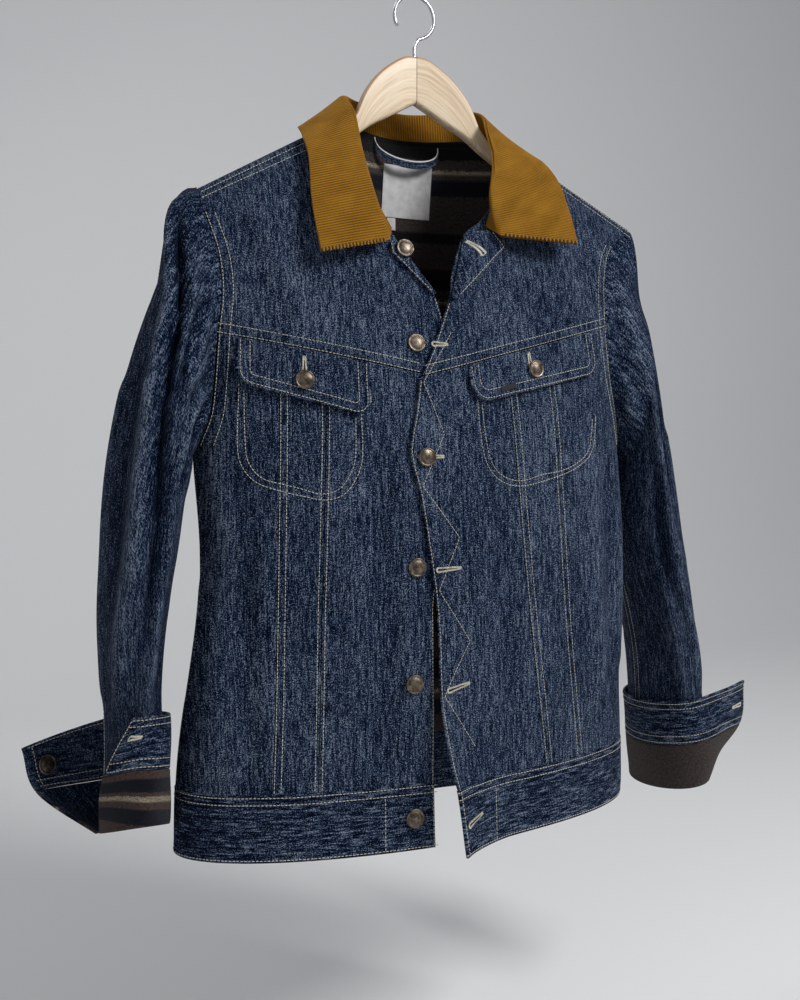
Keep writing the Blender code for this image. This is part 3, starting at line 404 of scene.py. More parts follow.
def cloth_wall(name, grid, thick, side, grain, outer, inner=None, rim=0.05, base=None, crown=None):
    """A wall with its outer face on a grid of points; side says which way that face looks. Where the
    outer face is ribbed, base is the plain grid behind the ribs. Crown, where it is given, is how far
    the ribs or the creases stand out, for the material to read."""
    wide, tall = grid.shape[:2]
    base = grid if base is None else base
    inward = base - unit_normals(base, side) * thick - grid
    across, down = run_lengths(grid, 0), run_lengths(grid, 1)
    near_side = np.minimum(across, across[-1:] - across)
    near_end = np.minimum(down, down[:, -1:] - down)
    bm = bmesh.new()
    inward_layer = bm.verts.layers.float_vector.new("inward")
    grain_layer = bm.verts.layers.float_vector.new("grain")
    rim_layer = bm.verts.layers.float_vector.new("rim")
    crown_layer = bm.verts.layers.float.new("crown") if crown is not None else None
    bmesh.ops.create_grid(bm, x_segments=wide - 1, y_segments=tall - 1, size=1.0)
    for vert in bm.verts:
        i = round((vert.co.x + 1) / 2 * (wide - 1))
        j = round((vert.co.y + 1) / 2 * (tall - 1))
        vert.co = grid[i, j]
        vert[inward_layer] = inward[i, j]
        vert[grain_layer] = (grain[0][i, j], grain[1][i, j], 0)
        vert[rim_layer] = (near_side[i, j], near_end[i, j], 0)
        if crown_layer:
            vert[crown_layer] = crown[i, j]
    outer_faces = bm.faces[:]
    made = bmesh.ops.extrude_face_region(bm, geom=outer_faces, use_keep_orig=True)
    inner_faces = [item for item in made["geom"] if isinstance(item, bmesh.types.BMFace)]
    for vert in (item for item in made["geom"] if isinstance(item, bmesh.types.BMVert)):
        vert.co += vert[inward_layer]
    for face in inner_faces:
        face.material_index = 1 if inner else 0
    bmesh.ops.recalc_face_normals(bm, faces=bm.faces)
    if rim:
        faces = set(outer_faces) | set(inner_faces)
        rims = [e for e in bm.edges if len(set(e.link_faces) & faces) == 1]
        bmesh.ops.bevel(
            bm, geom=rims, offset=min(rim, thick * 0.45), segments=2, profile=0.5, affect="EDGES",
            material=-1, clamp_overlap=True,
        )
    for layer_name, layer in (("grain", grain_layer), ("rim", rim_layer)):
        uv = bm.loops.layers.uv.new(layer_name)
        for face in bm.faces:
            for loop in face.loops:
                loop[uv].uv = loop.vert[layer].xy
    for layer_name in ("inward", "grain", "rim"):
        bm.verts.layers.float_vector.remove(bm.verts.layers.float_vector[layer_name])
    return finish_piece(name + "_cloth", bm, [outer, inner] if inner else [outer])


def declare_sheet(piece, grid):
    """Hides the solid piece and prints its cut, as wide and long as the grid measures along the cloth."""
    width = max(0.01, round(float(run_lengths(grid, 0)[-1].max()) * CM, 3))
    length = max(0.01, round(float(run_lengths(grid, 1)[:, -1].max()) * CM, 3))
    cells = np.linalg.norm(np.cross(np.diff(grid, axis=0)[:, :-1], np.diff(grid, axis=1)[:-1]), axis=-1)
    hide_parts(piece.name.removesuffix("_cloth"))
    print(f"{piece.name}: cut {width * 100:.1f} x {length * 100:.1f} cm")
    return piece


def lattice(across, down):
    """Shares across and down as two grids. Each is a count of steps or a list of shares."""
    u = np.linspace(0, 1, across + 1) if isinstance(across, int) else np.array(across)
    v = np.linspace(0, 1, down + 1) if isinstance(down, int) else np.array(down)
    return np.meshgrid(u, v, indexing="ij")


# %% [markdown]
# Shader graphs are easier to read as sums and products than as wires. The Socket class wraps a node's
# output, so that an expression on it adds Math nodes; vectors go through Vector Math. Every other
# node is made by one method, which sets the node's options first and its inputs after.


# %% Shader expressions
class Socket:
    def __init__(self, graph, link):
        self.graph, self.link = graph, link

    def _math(self, operation, a, b=None):
        values = {0: a} if b is None else {0: a, 1: b}
        if isinstance(a, tuple) or isinstance(b, tuple):
            return self.graph.node("VectorMath", {"operation": operation}, values)
        return self.graph.node("Math", {"operation": operation}, values)

    def __add__(self, other):
        return self._math("ADD", self, other)

    def __radd__(self, other):
        return self._math("ADD", other, self)

    def __sub__(self, other):
        return self._math("SUBTRACT", self, other)

    def __rsub__(self, other):
        return self._math("SUBTRACT", other, self)

    def __mul__(self, other):
        return self._math("MULTIPLY", self, other)

    def __rmul__(self, other):
        return self._math("MULTIPLY", other, self)

    def power(self, other):
        return self._math("POWER", self, other)

    def sine(self):
        return self._math("SINE", self)

    def floor_part(self):
        return self._math("FRACT", self)

    def between(self, low, high):
        """0 below low, 1 above high, smooth between them."""
        settings = {"interpolation_type": "SMOOTHSTEP"}
        return self.graph.node("MapRange", settings, {"Value": self, "From Min": low, "From Max": high})


class Graph:
    """One material: a Principled BSDF and the nodes that feed it."""

    def __init__(self, name, specular=0.5, roughness=0.5, metallic=0.0, sheen=0.0, coat=0.0):
        self.material = bpy.data.materials.new(name)
        self.material.use_nodes = True
        self.tree = self.material.node_tree
        self.shader = self.tree.nodes["Principled BSDF"]
        constants = {
            "Specular IOR Level": specular, "Roughness": roughness, "Metallic": metallic,
            "Sheen Weight": sheen, "Sheen Roughness": 0.5, "Coat Weight": coat, "Coat Roughness": 0.25,
        }
        for socket, value in constants.items():
            self.shader.inputs[socket].default_value = value

    def node(self, kind, settings=None, inputs=None, out=0):
        made = self.tree.nodes.new("ShaderNode" + kind)
        for name, value in (settings or {}).items():
            setattr(made, name, value)
        for key, value in (inputs or {}).items():
            if isinstance(value, Socket):
                self.tree.links.new(value.link, made.inputs[key])
            else:
                made.inputs[key].default_value = value
        return Socket(self, made.outputs[out])

    def noise(self, vector, detail=2.0, rough=0.5):
        settings = {"noise_dimensions": "3D"}
        inputs = {"Vector": vector, "Scale": 1.0, "Detail": detail, "Roughness": rough}
        return self.node("TexNoise", settings, inputs)

    def ramp(self, value, stops, steps="LINEAR"):
        """A colour for each value, from a short list of places and colours."""
        color = self.node("ValToRGB", None, {0: value})
        ramp = color.link.node.color_ramp
        ramp.interpolation = steps
        while len(ramp.elements) < len(stops):
            ramp.elements.new(0.5)
        for element, (place, shade) in zip(ramp.elements, stops):
            element.position, element.color = place, (*shade, 1.0)
        return color

    def blend(self, factor, a, b):
        a, b = (c if isinstance(c, Socket) else (*c, 1.0) for c in (a, b))
        return self.node("Mix", {"data_type": "RGBA"}, {0: factor, 6: a, 7: b}, out=2)

    def split(self, vector):
        """The vector's first two components."""
        first = self.node("SeparateXYZ", None, {0: vector})
        return first, Socket(self, first.link.node.outputs[1])

    def finish(self, color, roughness, height, depth=0.0002):
        """Links what varies. The bump is in metres: depth is the height of one unit."""
        feeds = {"Base Color": color, "Roughness": roughness}
        feeds["Normal"] = self.node("Bump", None, {"Height": height, "Distance": depth, "Strength": 1.0})
        for name, value in feeds.items():
            if isinstance(value, Socket):
                self.tree.links.new(value.link, self.shader.inputs[name])
        return self.material


# %% [markdown]
# Raw denim is woven from dark indigo warp yarns and pale weft yarns of uneven thickness. What the eye
# catches is the slub: long pale and dark streaks along the warp, crossed by finer ones, over the
# steep diagonal of the twill. Several stretched noises, added, give that tone. Painted light and
# shade go on it: the tone is a little paler along the crown of a crease and darker in its hollow.
# One ramp from near-black navy to worn blue gives the colour.


# %% Denim
def make_denim(name, light=0.0, streak=1.0, selvedge=False):
    g = Graph(name, specular=0.05, sheen=0.01)
    grain = g.node("UVMap", {"uv_map": "grain"})
    rim = g.node("UVMap", {"uv_map": "rim"})
    crown = g.node("Attribute", {"attribute_name": "crown"}, out=2)
    u, v = g.split(grain)
    side, end = g.split(rim)
    warp = g.noise(grain * (7.0, 0.75, 1.0), 2.0, 0.6)
    slub = g.noise(grain * (3.4, 0.22, 1.0) + (4.0, 8.0, 1.0), 2.0, 0.5)
    fine = g.noise(grain * (13.0, 4.5, 1.0) + (7.0, 3.0, 0.0), 1.0, 0.6)
    weft = g.noise(grain * (2.2, 11.0, 1.0) + (3.0, 9.0, 0.0), 2.0, 0.6)
    fleck = g.noise(grain * (12.0, 11.0, 1.0) + (1.0, 5.0, 2.0), 2.0, 0.7)
    broad = g.noise(grain * (0.16, 0.08, 1.0), 2.0, 0.5)
    twill = ((u * 1.9 + v) * 34.0).sine()
    yarn = (warp - 0.5) * (1.9 * streak) + (slub - 0.5) * (0.9 * streak) + (fine - 0.5) * 1.7
    yarn = yarn + (weft - 0.5) * 1.4 + (fleck - 0.5) * 3.6 + twill * 0.04
    # crown * 0.24 is painted light and shade: paler on the ridges of creases, darker in their hollows.
    tone = yarn + (broad - 0.5) * 0.5 + crown * 0.24 + (light + 0.42)
    # The tone is paler within about a millimetre of the cut edges.
    paler_edges_and_fold_shade = (1 - side.between(0.0, 0.12)) * 0.14 + (1 - end.between(0.0, 0.12)) * 0.14
    color = g.ramp(
        tone + paler_edges_and_fold_shade,
        [
            (0.05, (0.0008, 0.0020, 0.0070)),
            (0.36, (0.0036, 0.0110, 0.0350)),
            (0.58, (0.0150, 0.0320, 0.0760)),
            (0.80, (0.0620, 0.0900, 0.1500)),
            (1.00, (0.2000, 0.2350, 0.2900)),
        ],
    )
    if selvedge:
        color = g.blend(1 - u.between(0.13, 0.16), color, (0.62, 0.60, 0.55))
    pucker_side = g.noise(grain * (0.8, 2.6, 1.0) + (0.0, 0.0, 4.0), 1.0) * (1 - side.between(0.3, 1.5))
    pucker_end = g.noise(grain * (2.6, 0.8, 1.0) + (0.0, 0.0, 8.0), 1.0) * (1 - end.between(0.3, 1.5))
    height = twill * 0.10 + fine * 0.8 + weft * 0.5 + warp * 0.6 + fleck * 0.8
    height = height + pucker_side * 3.0 + pucker_end * 3.0
    return g.finish(color, 0.95 - tone * 0.15, height, 0.00045)


denim = make_denim("denim")
# A darker copy of the denim for the inner faces of the bands and turned linings: painted shade.
denim_shaded_inside = make_denim("denim_inside", -0.12)
denim_band = make_denim("denim_round", -0.10, 1.5)
denim_selvedge = make_denim("denim_selvedge", 0.0, selvedge=True)
print("denim:", len(denim.node_tree.nodes), "nodes")

# %% [markdown]
# The lining is a brushed blanket with plain woven stripes across it. The stripes repeat down the
# cloth, so the height within one repeat is read from the grain map and looked up in a ramp with
# sharp steps, whose edges a little noise frays. The nap is a soft sheen and a coarse, woolly bump.

# %% Blanket
BLANKET_REPEAT = 13.4
DARK, NAVY, GREY_BROWN = (0.0040, 0.0039, 0.0048), (0.0040, 0.0055, 0.0130), (0.0480, 0.0390, 0.0360)
CREAM, ROSY = (0.3000, 0.2650, 0.1900), (0.0640, 0.0420, 0.0370)
NECK_STRIPES = [(0.00, DARK), (0.16, GREY_BROWN), (0.235, CREAM), (0.265, GREY_BROWN), (0.31, NAVY)]
NECK_STRIPES += [(0.43, GREY_BROWN), (0.72, DARK), (0.80, GREY_BROWN), (0.95, ROSY)]
CUFF_STRIPES = [(0.00, ROSY), (0.11, NAVY), (0.29, ROSY), (0.345, CREAM), (0.42, ROSY), (0.52, NAVY)]
CUFF_STRIPES += [(0.74, ROSY)]


def make_blanket(name, stripes, start, repeat):
    g = Graph(name, specular=0.08, roughness=0.97, sheen=0.08)
    grain = g.node("UVMap", {"uv_map": "grain"})
    _, v = g.split(grain)
    wool = g.noise(grain * (4.0, 4.0, 1.0), 4.0, 0.65)
    fibre = g.noise(grain * (22.0, 14.0, 1.0) + (0.0, 0.0, 3.0), 3.0, 0.7)
    frayed = (wool - 0.5) * 0.06 + (fibre - 0.5) * 0.10
    along = ((v - start) * (-1.0 / repeat) + frayed).floor_part()
    stripe = g.ramp(along, stripes, "CONSTANT")
    mottled = g.blend(fibre.between(0.46, 0.64), stripe * (0.35, 0.35, 0.36), stripe * (3.0, 2.9, 2.8))
    color = g.blend(wool.between(0.55, 0.35) * 0.6, mottled, (0.004, 0.004, 0.005))
    return g.finish(color, None, wool * 1.2 + fibre * 0.9, 0.0011)


blanket = make_blanket("blanket", NECK_STRIPES, -13.3, BLANKET_REPEAT)
blanket_cuff = make_blanket("blanket_cuff", CUFF_STRIPES, 0.0, 6.3)
blanket_plain = make_blanket("blanket_plain", [(0.0, GREY_BROWN), (0.9, ROSY)], 0.0, 9.0)
print("blanket repeat:", BLANKET_REPEAT, "cm")

# %% [markdown]
# Corduroy is a pile cut into ribs. The ribs are real shape here; the finish adds the pile between them,
# painted shade in each furrow and painted light on the crowns, and a sheen that lights up at a grazing angle.


# %% Corduroy, thread, labels
def make_corduroy():
    g = Graph("corduroy", specular=0.10, sheen=0.14)
    g.shader.inputs["Sheen Tint"].default_value = (0.95, 0.66, 0.30, 1.0)
    grain = g.node("UVMap", {"uv_map": "grain"})
    crown = g.node("Attribute", {"attribute_name": "crown"}, out=2)
    pile = g.noise(grain * (16.0, 7.0, 1.0), 3.0, 0.7)
    patch = g.noise(grain * (0.5, 0.35, 1.0), 2.0, 0.5)
    # crown * 0.45 is painted light and shade: lighter on the ribs' crowns, darker in the furrows.
    tone = crown * 0.45 + pile * 0.55 + patch * 0.35 - 0.20
    color = g.ramp(
        tone,
        [
            (0.05, (0.0260, 0.0090, 0.0008)),
            (0.35, (0.1150, 0.0460, 0.0030)),
            (0.62, (0.2650, 0.1200, 0.0080)),
            (0.95, (0.4300, 0.2250, 0.0260)),
        ],
    )
    return g.finish(color, 0.95 - pile * 0.2, pile, 0.00035)


def make_thread(name, color, shade):
    g = Graph(name, specular=0.35, roughness=0.62, sheen=0.1)
    place = g.node("TexCoord", out=3)
    tone = g.noise(place * (900.0, 900.0, 900.0), 2.0, 0.6)
    return g.finish(g.blend(tone.between(0.35, 0.65), shade, color), None, tone, 0.0001)


def make_woven(name, color, shade):
    g = Graph(name, specular=0.3, roughness=0.7)
    grain = g.node("UVMap", {"uv_map": "grain"})
    weave = g.noise(grain * (9.0, 40.0, 1.0), 2.0, 0.6)
    soft = g.noise(grain * (1.1, 1.1, 1.0), 2.0, 0.5)
    tone = (weave * 0.6 + soft * 0.4).between(0.35, 0.65)
    return g.finish(g.blend(tone, shade, color), None, weave, 0.00015)


corduroy = make_corduroy()
cream_thread = make_thread("cream_thread", (0.72, 0.69, 0.59), (0.40, 0.38, 0.31))
mustard_pile = make_thread("mustard_pile", (0.360, 0.180, 0.014), (0.190, 0.085, 0.006))
white_cloth = make_woven("label_cloth", (0.60, 0.59, 0.58), (0.40, 0.40, 0.40))
# This dark cloth is the flap tab's own colour, and it also fills the buttonhole slits as painted shade.
black_cloth_and_slit_shade = make_woven("dark_tab_cloth", (0.016, 0.016, 0.018), (0.006, 0.006, 0.007))
print("corduroy and thread made")

# %% [markdown]
# Wood and metal are hard, so they read Object coordinates: the grain of the hanger runs along its
# arms, stretched noise broken by finer pores, under clear lacquer. Buttons are dark plated metal,
# paler where they are rubbed.


# %% Wood and metal
def make_wood():
    g = Graph("ash_wood", coat=0.2)
    grain = g.node("UVMap", {"uv_map": "grain"})
    rim = g.node("UVMap", {"uv_map": "rim"})
    _, top = g.split(rim)
    bend = g.noise(grain * (0.12, 0.12, 1.0), 2.0)
    rings = g.noise(grain * (0.18, 3.2, 1.0) + (0.0, 2.0, 1.0), 3.0, 0.55)
    pores = g.noise(grain * (1.1, 22.0, 1.0), 3.0, 0.7)
    tone = rings * 0.9 + pores * 0.5 + bend * 0.3 - 0.35
    face = g.ramp(
        tone,
        [
            (0.15, (0.4200, 0.2600, 0.1350)),
            (0.40, (0.6000, 0.4400, 0.2750)),
            (0.60, (0.7400, 0.6000, 0.4200)),
            (0.90, (0.8200, 0.7100, 0.5400)),
        ],
    )
    color = g.blend(top.between(0.30, 0.85) * 0.85, face, (0.44, 0.19, 0.065))
    along, _ = g.split(grain)
    color = g.blend((1 - along.between(0.03, 0.08)) * 0.6, color, (0.20, 0.10, 0.045))
    return g.finish(color, 0.42 + pores * 0.2, pores * 0.6 + rings * 0.4, 0.00012)


def make_metal(name, dark, bright, roughness):
    g = Graph(name, metallic=1.0)
    place = g.node("TexCoord", out=3)
    blotch = g.noise(place * (260.0, 260.0, 260.0), 4.0, 0.65)
    scratch = g.noise(place * (900.0, 900.0, 3000.0), 2.0, 0.6)
    color = g.blend(blotch.between(0.36, 0.66), dark, bright)
    return g.finish(color, roughness + scratch * 0.2, blotch * 0.5 + scratch * 0.5, 0.00008)


ash = make_wood()
bronze = make_metal("bronze_plate", (0.075, 0.058, 0.042), (0.23, 0.19, 0.15), 0.32)
steel = make_metal("hook_wire", (0.42, 0.42, 0.44), (0.72, 0.72, 0.75), 0.16)
print("hard finishes made")

# %% [markdown]
# The fronts: on each side a yoke, a centre panel with the folded front edge, a narrow strip between
# two long seams, and a side panel that turns round to the side seam. Each is laid out flat, in shares
# of its own borders, and then put on the body's surface.


# %% Fronts
def turn_of(side, x, z):
    return np.arccos(np.clip(x * SIGN[side] / half_width(SIGN[side], z), -1, 1))


def make_front_yoke(side):
    sign, seam = SIGN[side], YOKE_SEAM[side]
    neck_x = neckline.right_x if side == "right" else neckline.left_x
    neck_z = neckline.right_z if side == "right" else neckline.left_z
    arm_x = armhole.front_right if side == "right" else armhole.front_left
    top_z, low_z = shoulder_seam_height(SHOULDER_HALF), seam.z0
    for _ in range(4):
        low_z = seam_height(seam, sign * arm_x(low_z))
    u, v = lattice(60, 66)
    s, r = mix(0.002, 0.998, u), mix(0.004, 0.998, v)
    inner = np.stack([neck_x(r), neck_z(r)])
    arm_z = mix(top_z, low_z, r)
    outer = np.stack([sign * arm_x(arm_z), arm_z])
    top_x = mix(float(neck_x(0.0)), sign * float(arm_x(top_z)), s)
    top = np.stack([top_x, shoulder_seam_height(top_x)])
    low_x = mix(float(neck_x(1.0)), sign * float(arm_x(low_z)), s)
    low = np.stack([low_x, seam_height(seam, low_x)])
    flat = inner * (1 - s) + outer * s + top * (1 - r) + low * r
    for end_s, weight_s in ((0, 1 - s), (-1, s)):
        flat -= top[:, end_s, :1, None] * (weight_s * (1 - r)) + low[:, end_s, :1, None] * (weight_s * r)
    grid = front_face(side, flat[0], flat[1])
    # The crease heights become the denim's crown: painted light on the ridges, painted shade in the hollows.
    paler_edges_and_fold_shade = body_crease(flat[0], flat[1], -1)
    piece = cloth_wall(f"front_yoke_{side}", grid, PANEL, -sign, grain_of(grid), denim, blanket, crown=paler_edges_and_fold_shade)
    return declare_sheet(piece, grid)


def make_front_panel(name, side, start, end, count):
    """A panel below the yoke, between two borders given as turns round the section."""
    sign, seam = SIGN[side], YOKE_SEAM[side]
    u, v = lattice(count, 110)
    level = mix(seam.z1, BAND_TOP, v)
    for _ in range(3):
        turn = mix(start(level) - GAP / 16, end(level) + GAP / 16, u)
        x = sign * half_width(sign, level) * np.cos(turn)
        level = mix(seam_height(seam, x) - GAP / 2, BAND_TOP + GAP / 2, v)
    x = sign * half_width(sign, level) * np.cos(turn)
    grid = front_face(side, x, level)
    # The crease heights become the denim's crown: painted light on the ridges, painted shade in the hollows.
    paler_edges_and_fold_shade = body_crease(x, level, -1)
    piece = cloth_wall(name, grid, PANEL, -sign, grain_of(grid), denim, blanket, crown=paler_edges_and_fold_shade)
    return declare_sheet(piece, grid)


for side, sign in SIGN.items():
    arm_x = armhole.front_right if side == "right" else armhole.front_left

    def edge_turn(z, side=side):
        return turn_of(side, front_edge[side](z), z)

    def inner_turn(z, side=side):
        return turn_of(side, long_seam(f"inner_{side}", z), z)

    def outer_turn(z, side=side):
        return turn_of(side, long_seam(f"outer_{side}", z), z)

    def side_turn(z, side=side, arm_x=arm_x):
        return np.where(z > ARMPIT, turn_of(side, SIGN[side] * arm_x(z), z), 0.0)

    make_front_yoke(side)
    make_front_panel(f"front_centre_{side}", side, edge_turn, inner_turn, 34)
    make_front_panel(f"front_strip_{side}", side, inner_turn, outer_turn, 12)
    make_front_panel(f"front_side_{side}", side, outer_turn, side_turn, 40)

# %% [markdown]
# The back has one yoke over both shoulders and three panels below it. The yoke is measured by how far
# it has gone over the ridge, because the front and the back face meet there with no edge.


# %% Back
def yoke_end(side, over):
    front, back = (getattr(armhole, way + side) for way in ("front_", "back_"))
    x = np.full(np.shape(over), SHOULDER_HALF)
    for _ in range(4):
        z = ridge_height(x) - over**2 * (ridge_height(x) - YOKE_LEVEL)
        x = np.where(over > 0, front(z), back(z))
    return x - 0.04


def back_yoke_top(x):
    arch = np.maximum(0.0, np.cos(np.pi * (x - 0.6) / 16.4))
    ends = SHOULDER_SEAM * ease((np.abs(x) - NECK_HALF) / NECK_CHAMFER)
    return np.where(np.abs(x) < NECK_HALF - 0.2, -0.100 * np.sqrt(arch), ends)


def over_ridge(x, over, lift=0.0):
    """A point so far in front of (over > 0) or behind the shoulder's ridge."""
    x, over = np.broadcast_arrays(np.asarray(x, float), np.asarray(over, float))

    def surface(x, over):
        z = ridge_height(x) - over**2 * (ridge_height(x) - YOKE_LEVEL)
        return xyz(x, np.where(over > 0, cloth_y(x, z, -1), cloth_y(x, z, 1)), z)

    z = ridge_height(x) - over**2 * (ridge_height(x) - YOKE_LEVEL)
    crease = np.where(over > 0, body_crease(x, z, -1), body_crease(x, z, 1))
    return lifted(surface, x, over, -crease - np.asarray(lift), step=0.004)


def make_back_yoke():
    u, v = lattice(130, 64)
    x = mix(-22.0, 22.0, u)
    for _ in range(3):
        tall = ridge_height(x) - YOKE_LEVEL
        low = -np.sqrt((ridge_height(x) - BACK_YOKE_Z) / tall)
        over = mix(back_yoke_top(x) - 0.014, low, v)
        x = mix(-yoke_end("right", over), yoke_end("left", over), u)
    grid = over_ridge(x, over)
    piece = cloth_wall("back_yoke", grid, PANEL, 1, grain_of(grid), denim, blanket)
    return declare_sheet(piece, grid)


def make_back_panel(name, start, end, count):
    u, v = lattice(count, 100)
    z = mix(BACK_YOKE_Z - GAP / 2, BAND_TOP + GAP / 2, v)
    turn = mix(start(z) + GAP / 16, end(z) - GAP / 16, u)
    x = half_width(np.cos(turn), z) * np.cos(turn)
    grid = back_face(x, z)
    # The crease heights become the denim's crown: painted light on the ridges, painted shade in the hollows.
    paler_edges_and_fold_shade = body_crease(x, z, 1)
    piece = cloth_wall(name, grid, PANEL, -1, grain_of(grid), denim, blanket, crown=paler_edges_and_fold_shade)
    return declare_sheet(piece, grid)


def back_seam_turn(side, z):
    return np.arccos(along_line(BACK_SEAM[side], z) / half_width(BACK_SEAM[side].x0, z))


def back_side_turn(side, z):
    arm = getattr(armhole, f"back_{side}")(z) / half_width(SIGN[side], z)
    open_turn = np.arccos(np.clip(SIGN[side] * arm, -1, 1))
    return np.where(z > ARMPIT, open_turn, 0.0 if side == "left" else np.pi)


make_back_yoke()
make_back_panel(
    "back_side_left", lambda z: back_side_turn("left", z), lambda z: back_seam_turn("left", z), 34
)
make_back_panel(
    "back_centre", lambda z: back_seam_turn("left", z), lambda z: back_seam_turn("right", z), 50
)
make_back_panel(
    "back_side_right", lambda z: back_seam_turn("right", z), lambda z: back_side_turn("right", z), 34
)

# %% [markdown]
# The band at the hem is a strip folded on itself, cut with the warp running round the body, so its
# streaks lie flat. It stands a little proud of the panels.


# %% Hem band
def make_hem_bands():
    for side, sign in SIGN.items():
        u, v = lattice(84, 20)
        z = mix(BAND_TOP - GAP / 2, HEM, v)
        turn = mix(turn_of(side, front_edge[side](z), z), GAP / 16, u)
        grid = front_face(side, sign * half_width(sign, z) * np.cos(turn), z, 0.06)
        grain = grain_of(grid, turned=True)
        piece = cloth_wall(f"hem_band_{side}", grid, BAND, -sign, grain, denim_band, denim_shaded_inside, rim=0.12)
        declare_sheet(piece, grid)
    u, v = lattice(110, 20)
    z = mix(BAND_TOP - GAP / 2, HEM, v)
    turn = mix(GAP / 16, math.pi - GAP / 16, u)
    grid = back_face(half_width(np.cos(turn), z) * np.cos(turn), z, 0.06)
    grain = grain_of(grid, turned=True)
    piece = cloth_wall("hem_band_back", grid, BAND, -1, grain, denim_band, denim_shaded_inside, rim=0.12)
    declare_sheet(piece, grid)


make_hem_bands()

# %% [markdown]
# The collar is one strip, sewn to the neckline, that stands up and folds over. Between the stand and
# the fall it follows a small round fold. Its ribs cross the strip, so they run out to its edge, where
# they show as fine teeth.

# %% Collar
Station = namedtuple("Station", "at seam fold edge")
COLLAR = [
    Station(0.0, (-6.10, -8.08, -24.9), (-7.10, -9.75, -26.3), (-13.6, -9.70, -27.7)),
    Station(4.6, (-7.55, -7.02, -21.6), (-8.00, -8.30, -21.3), (-13.8, -7.90, -22.9)),
    Station(9.0, (-8.20, -5.72, -18.2), (-7.90, -5.60, -16.6), (-13.4, -5.90, -18.4)),
    Station(12.5, (-8.30, -3.90, -15.6), (-7.35, -2.70, -12.5), (-13.1, -3.00, -15.6)),
    Station(15.8, (-8.10, -0.90, -13.0), (-6.90, 0.20, -10.0), (-12.1, 0.40, -14.4)),
    Station(20.5, (-4.60, 2.60, -13.35), (-4.60, 3.30, -9.4), (-7.8, 6.00, -14.8)),
    Station(24.8, (0.60, 3.75, -13.6), (0.60, 4.30, -9.3), (0.4, 7.10, -15.4)),
    Station(29.1, (5.40, 2.50, -13.5), (5.30, 3.10, -9.4), (8.2, 5.90, -14.8)),
    Station(33.6, (8.20, -0.90, -13.2), (6.50, 0.10, -9.7), (12.1, 0.40, -14.4)),
    Station(36.8, (7.90, -3.80, -15.8), (5.60, -2.90, -12.6), (12.6, -3.20, -15.6)),
    Station(40.2, (6.60, -5.90, -18.4), (5.00, -5.60, -16.9), (13.0, -6.20, -18.4)),
    Station(44.4, (4.90, -7.05, -21.4), (3.80, -7.90, -20.9), (13.0, -8.10, -21.6)),
    Station(49.0, (3.70, -7.90, -23.9), (4.20, -9.70, -25.0), (12.9, -9.70, -25.1)),
]
collar = columns(COLLAR, "at")
FOLD_RADIUS, WALE, WALE_HEIGHT = 0.42, 0.22, 0.055


def unit(v):
    return v / np.linalg.norm(v, axis=-1, keepdims=True)


def size(v):
    return np.linalg.norm(v, axis=-1, keepdims=True)


def collar_point(at, t):
    """A point of the strip: up its stand, round the fold, and down to its edge as t goes from 0 to 1."""
    seam, fold, rim = collar.seam(at), collar.fold(at), collar.edge(at)
    to_seam, to_rim = seam - fold, rim - fold
    cosine = (unit(to_seam) * unit(to_rim)).sum(-1, keepdims=True)
    half = np.arccos(np.clip(cosine, -1, 1)) / 2
    cut = np.minimum(FOLD_RADIUS / np.tan(half), 0.45 * np.minimum(size(to_seam), size(to_rim)))
    start, end = fold + unit(to_seam) * cut, fold + unit(to_rim) * cut
    middle = fold + unit(unit(to_seam) + unit(to_rim)) * (cut / np.cos(half))
    t = np.asarray(t)[..., None]
    turn = np.clip((t - 0.35) / 0.25, 0, 1)
    arc = np.pi - 2 * half
    spoke_a, spoke_b = start - middle, end - middle
    round_part = middle + (np.sin((1 - turn) * arc) * spoke_a + np.sin(turn * arc) * spoke_b) / np.sin(arc)
    up = mix(seam, start, np.clip(t / 0.35, 0, 1))
    down = mix(end, rim, np.clip((t - 0.60) / 0.40, 0, 1))
    return np.where(t < 0.35, up, np.where(t > 0.60, down, round_part))


def make_collar():
    length = COLLAR[-1].at
    ribs, per_rib = round(length / WALE), 4
    rows = np.concatenate([np.linspace(0, 0.35, 7), np.linspace(0.37, 0.60, 9), np.linspace(0.64, 1.0, 14)])
    u, v = lattice(ribs * per_rib, rows)
    base = collar_point(u * length, v)
    wobble = 0.012 * np.sin(u * 61.0 + v * 7.0) + 0.010 * np.sin(u * 23.0 - v * 11.0)
    crown = np.abs(np.sin(np.pi * (u * ribs + wobble * 3))) ** 0.7
    sag = (0.10 * np.sin(np.pi * v) * np.sin(u * 17.0 + 0.6) + 0.05 * np.sin(u * 31.0 + v * 3.0))
    base = base + unit_normals(base, 1) * (sag * ease((v - 0.60) / 0.25))[..., None]
    grid = base + unit_normals(base, 1) * ((crown - 1) * WALE_HEIGHT)[..., None]
    grain = (run_lengths(base, 0), run_lengths(base, 1))
    piece = cloth_wall("collar", grid, CORD, 1, grain, corduroy, corduroy, 0, base, crown)
    return declare_sheet(piece, base)


make_collar()
print("collar ribs:", round(COLLAR[-1].at / WALE))

# %% [markdown]
# Above the top button both fronts turn back into short lapels. Each lies on its own front, lifted a
# few millimetres at the roll, as cloth does that has been pressed but hangs open.


# %% Lapels
def path_between(corners, share):
    """Points at the shares along a few corners, each leg with its own share of the way."""
    shares = np.array([corner[0] for corner in corners])
    return [np.interp(share, shares, [corner[k] for corner in corners]) for k in (1, 2)]


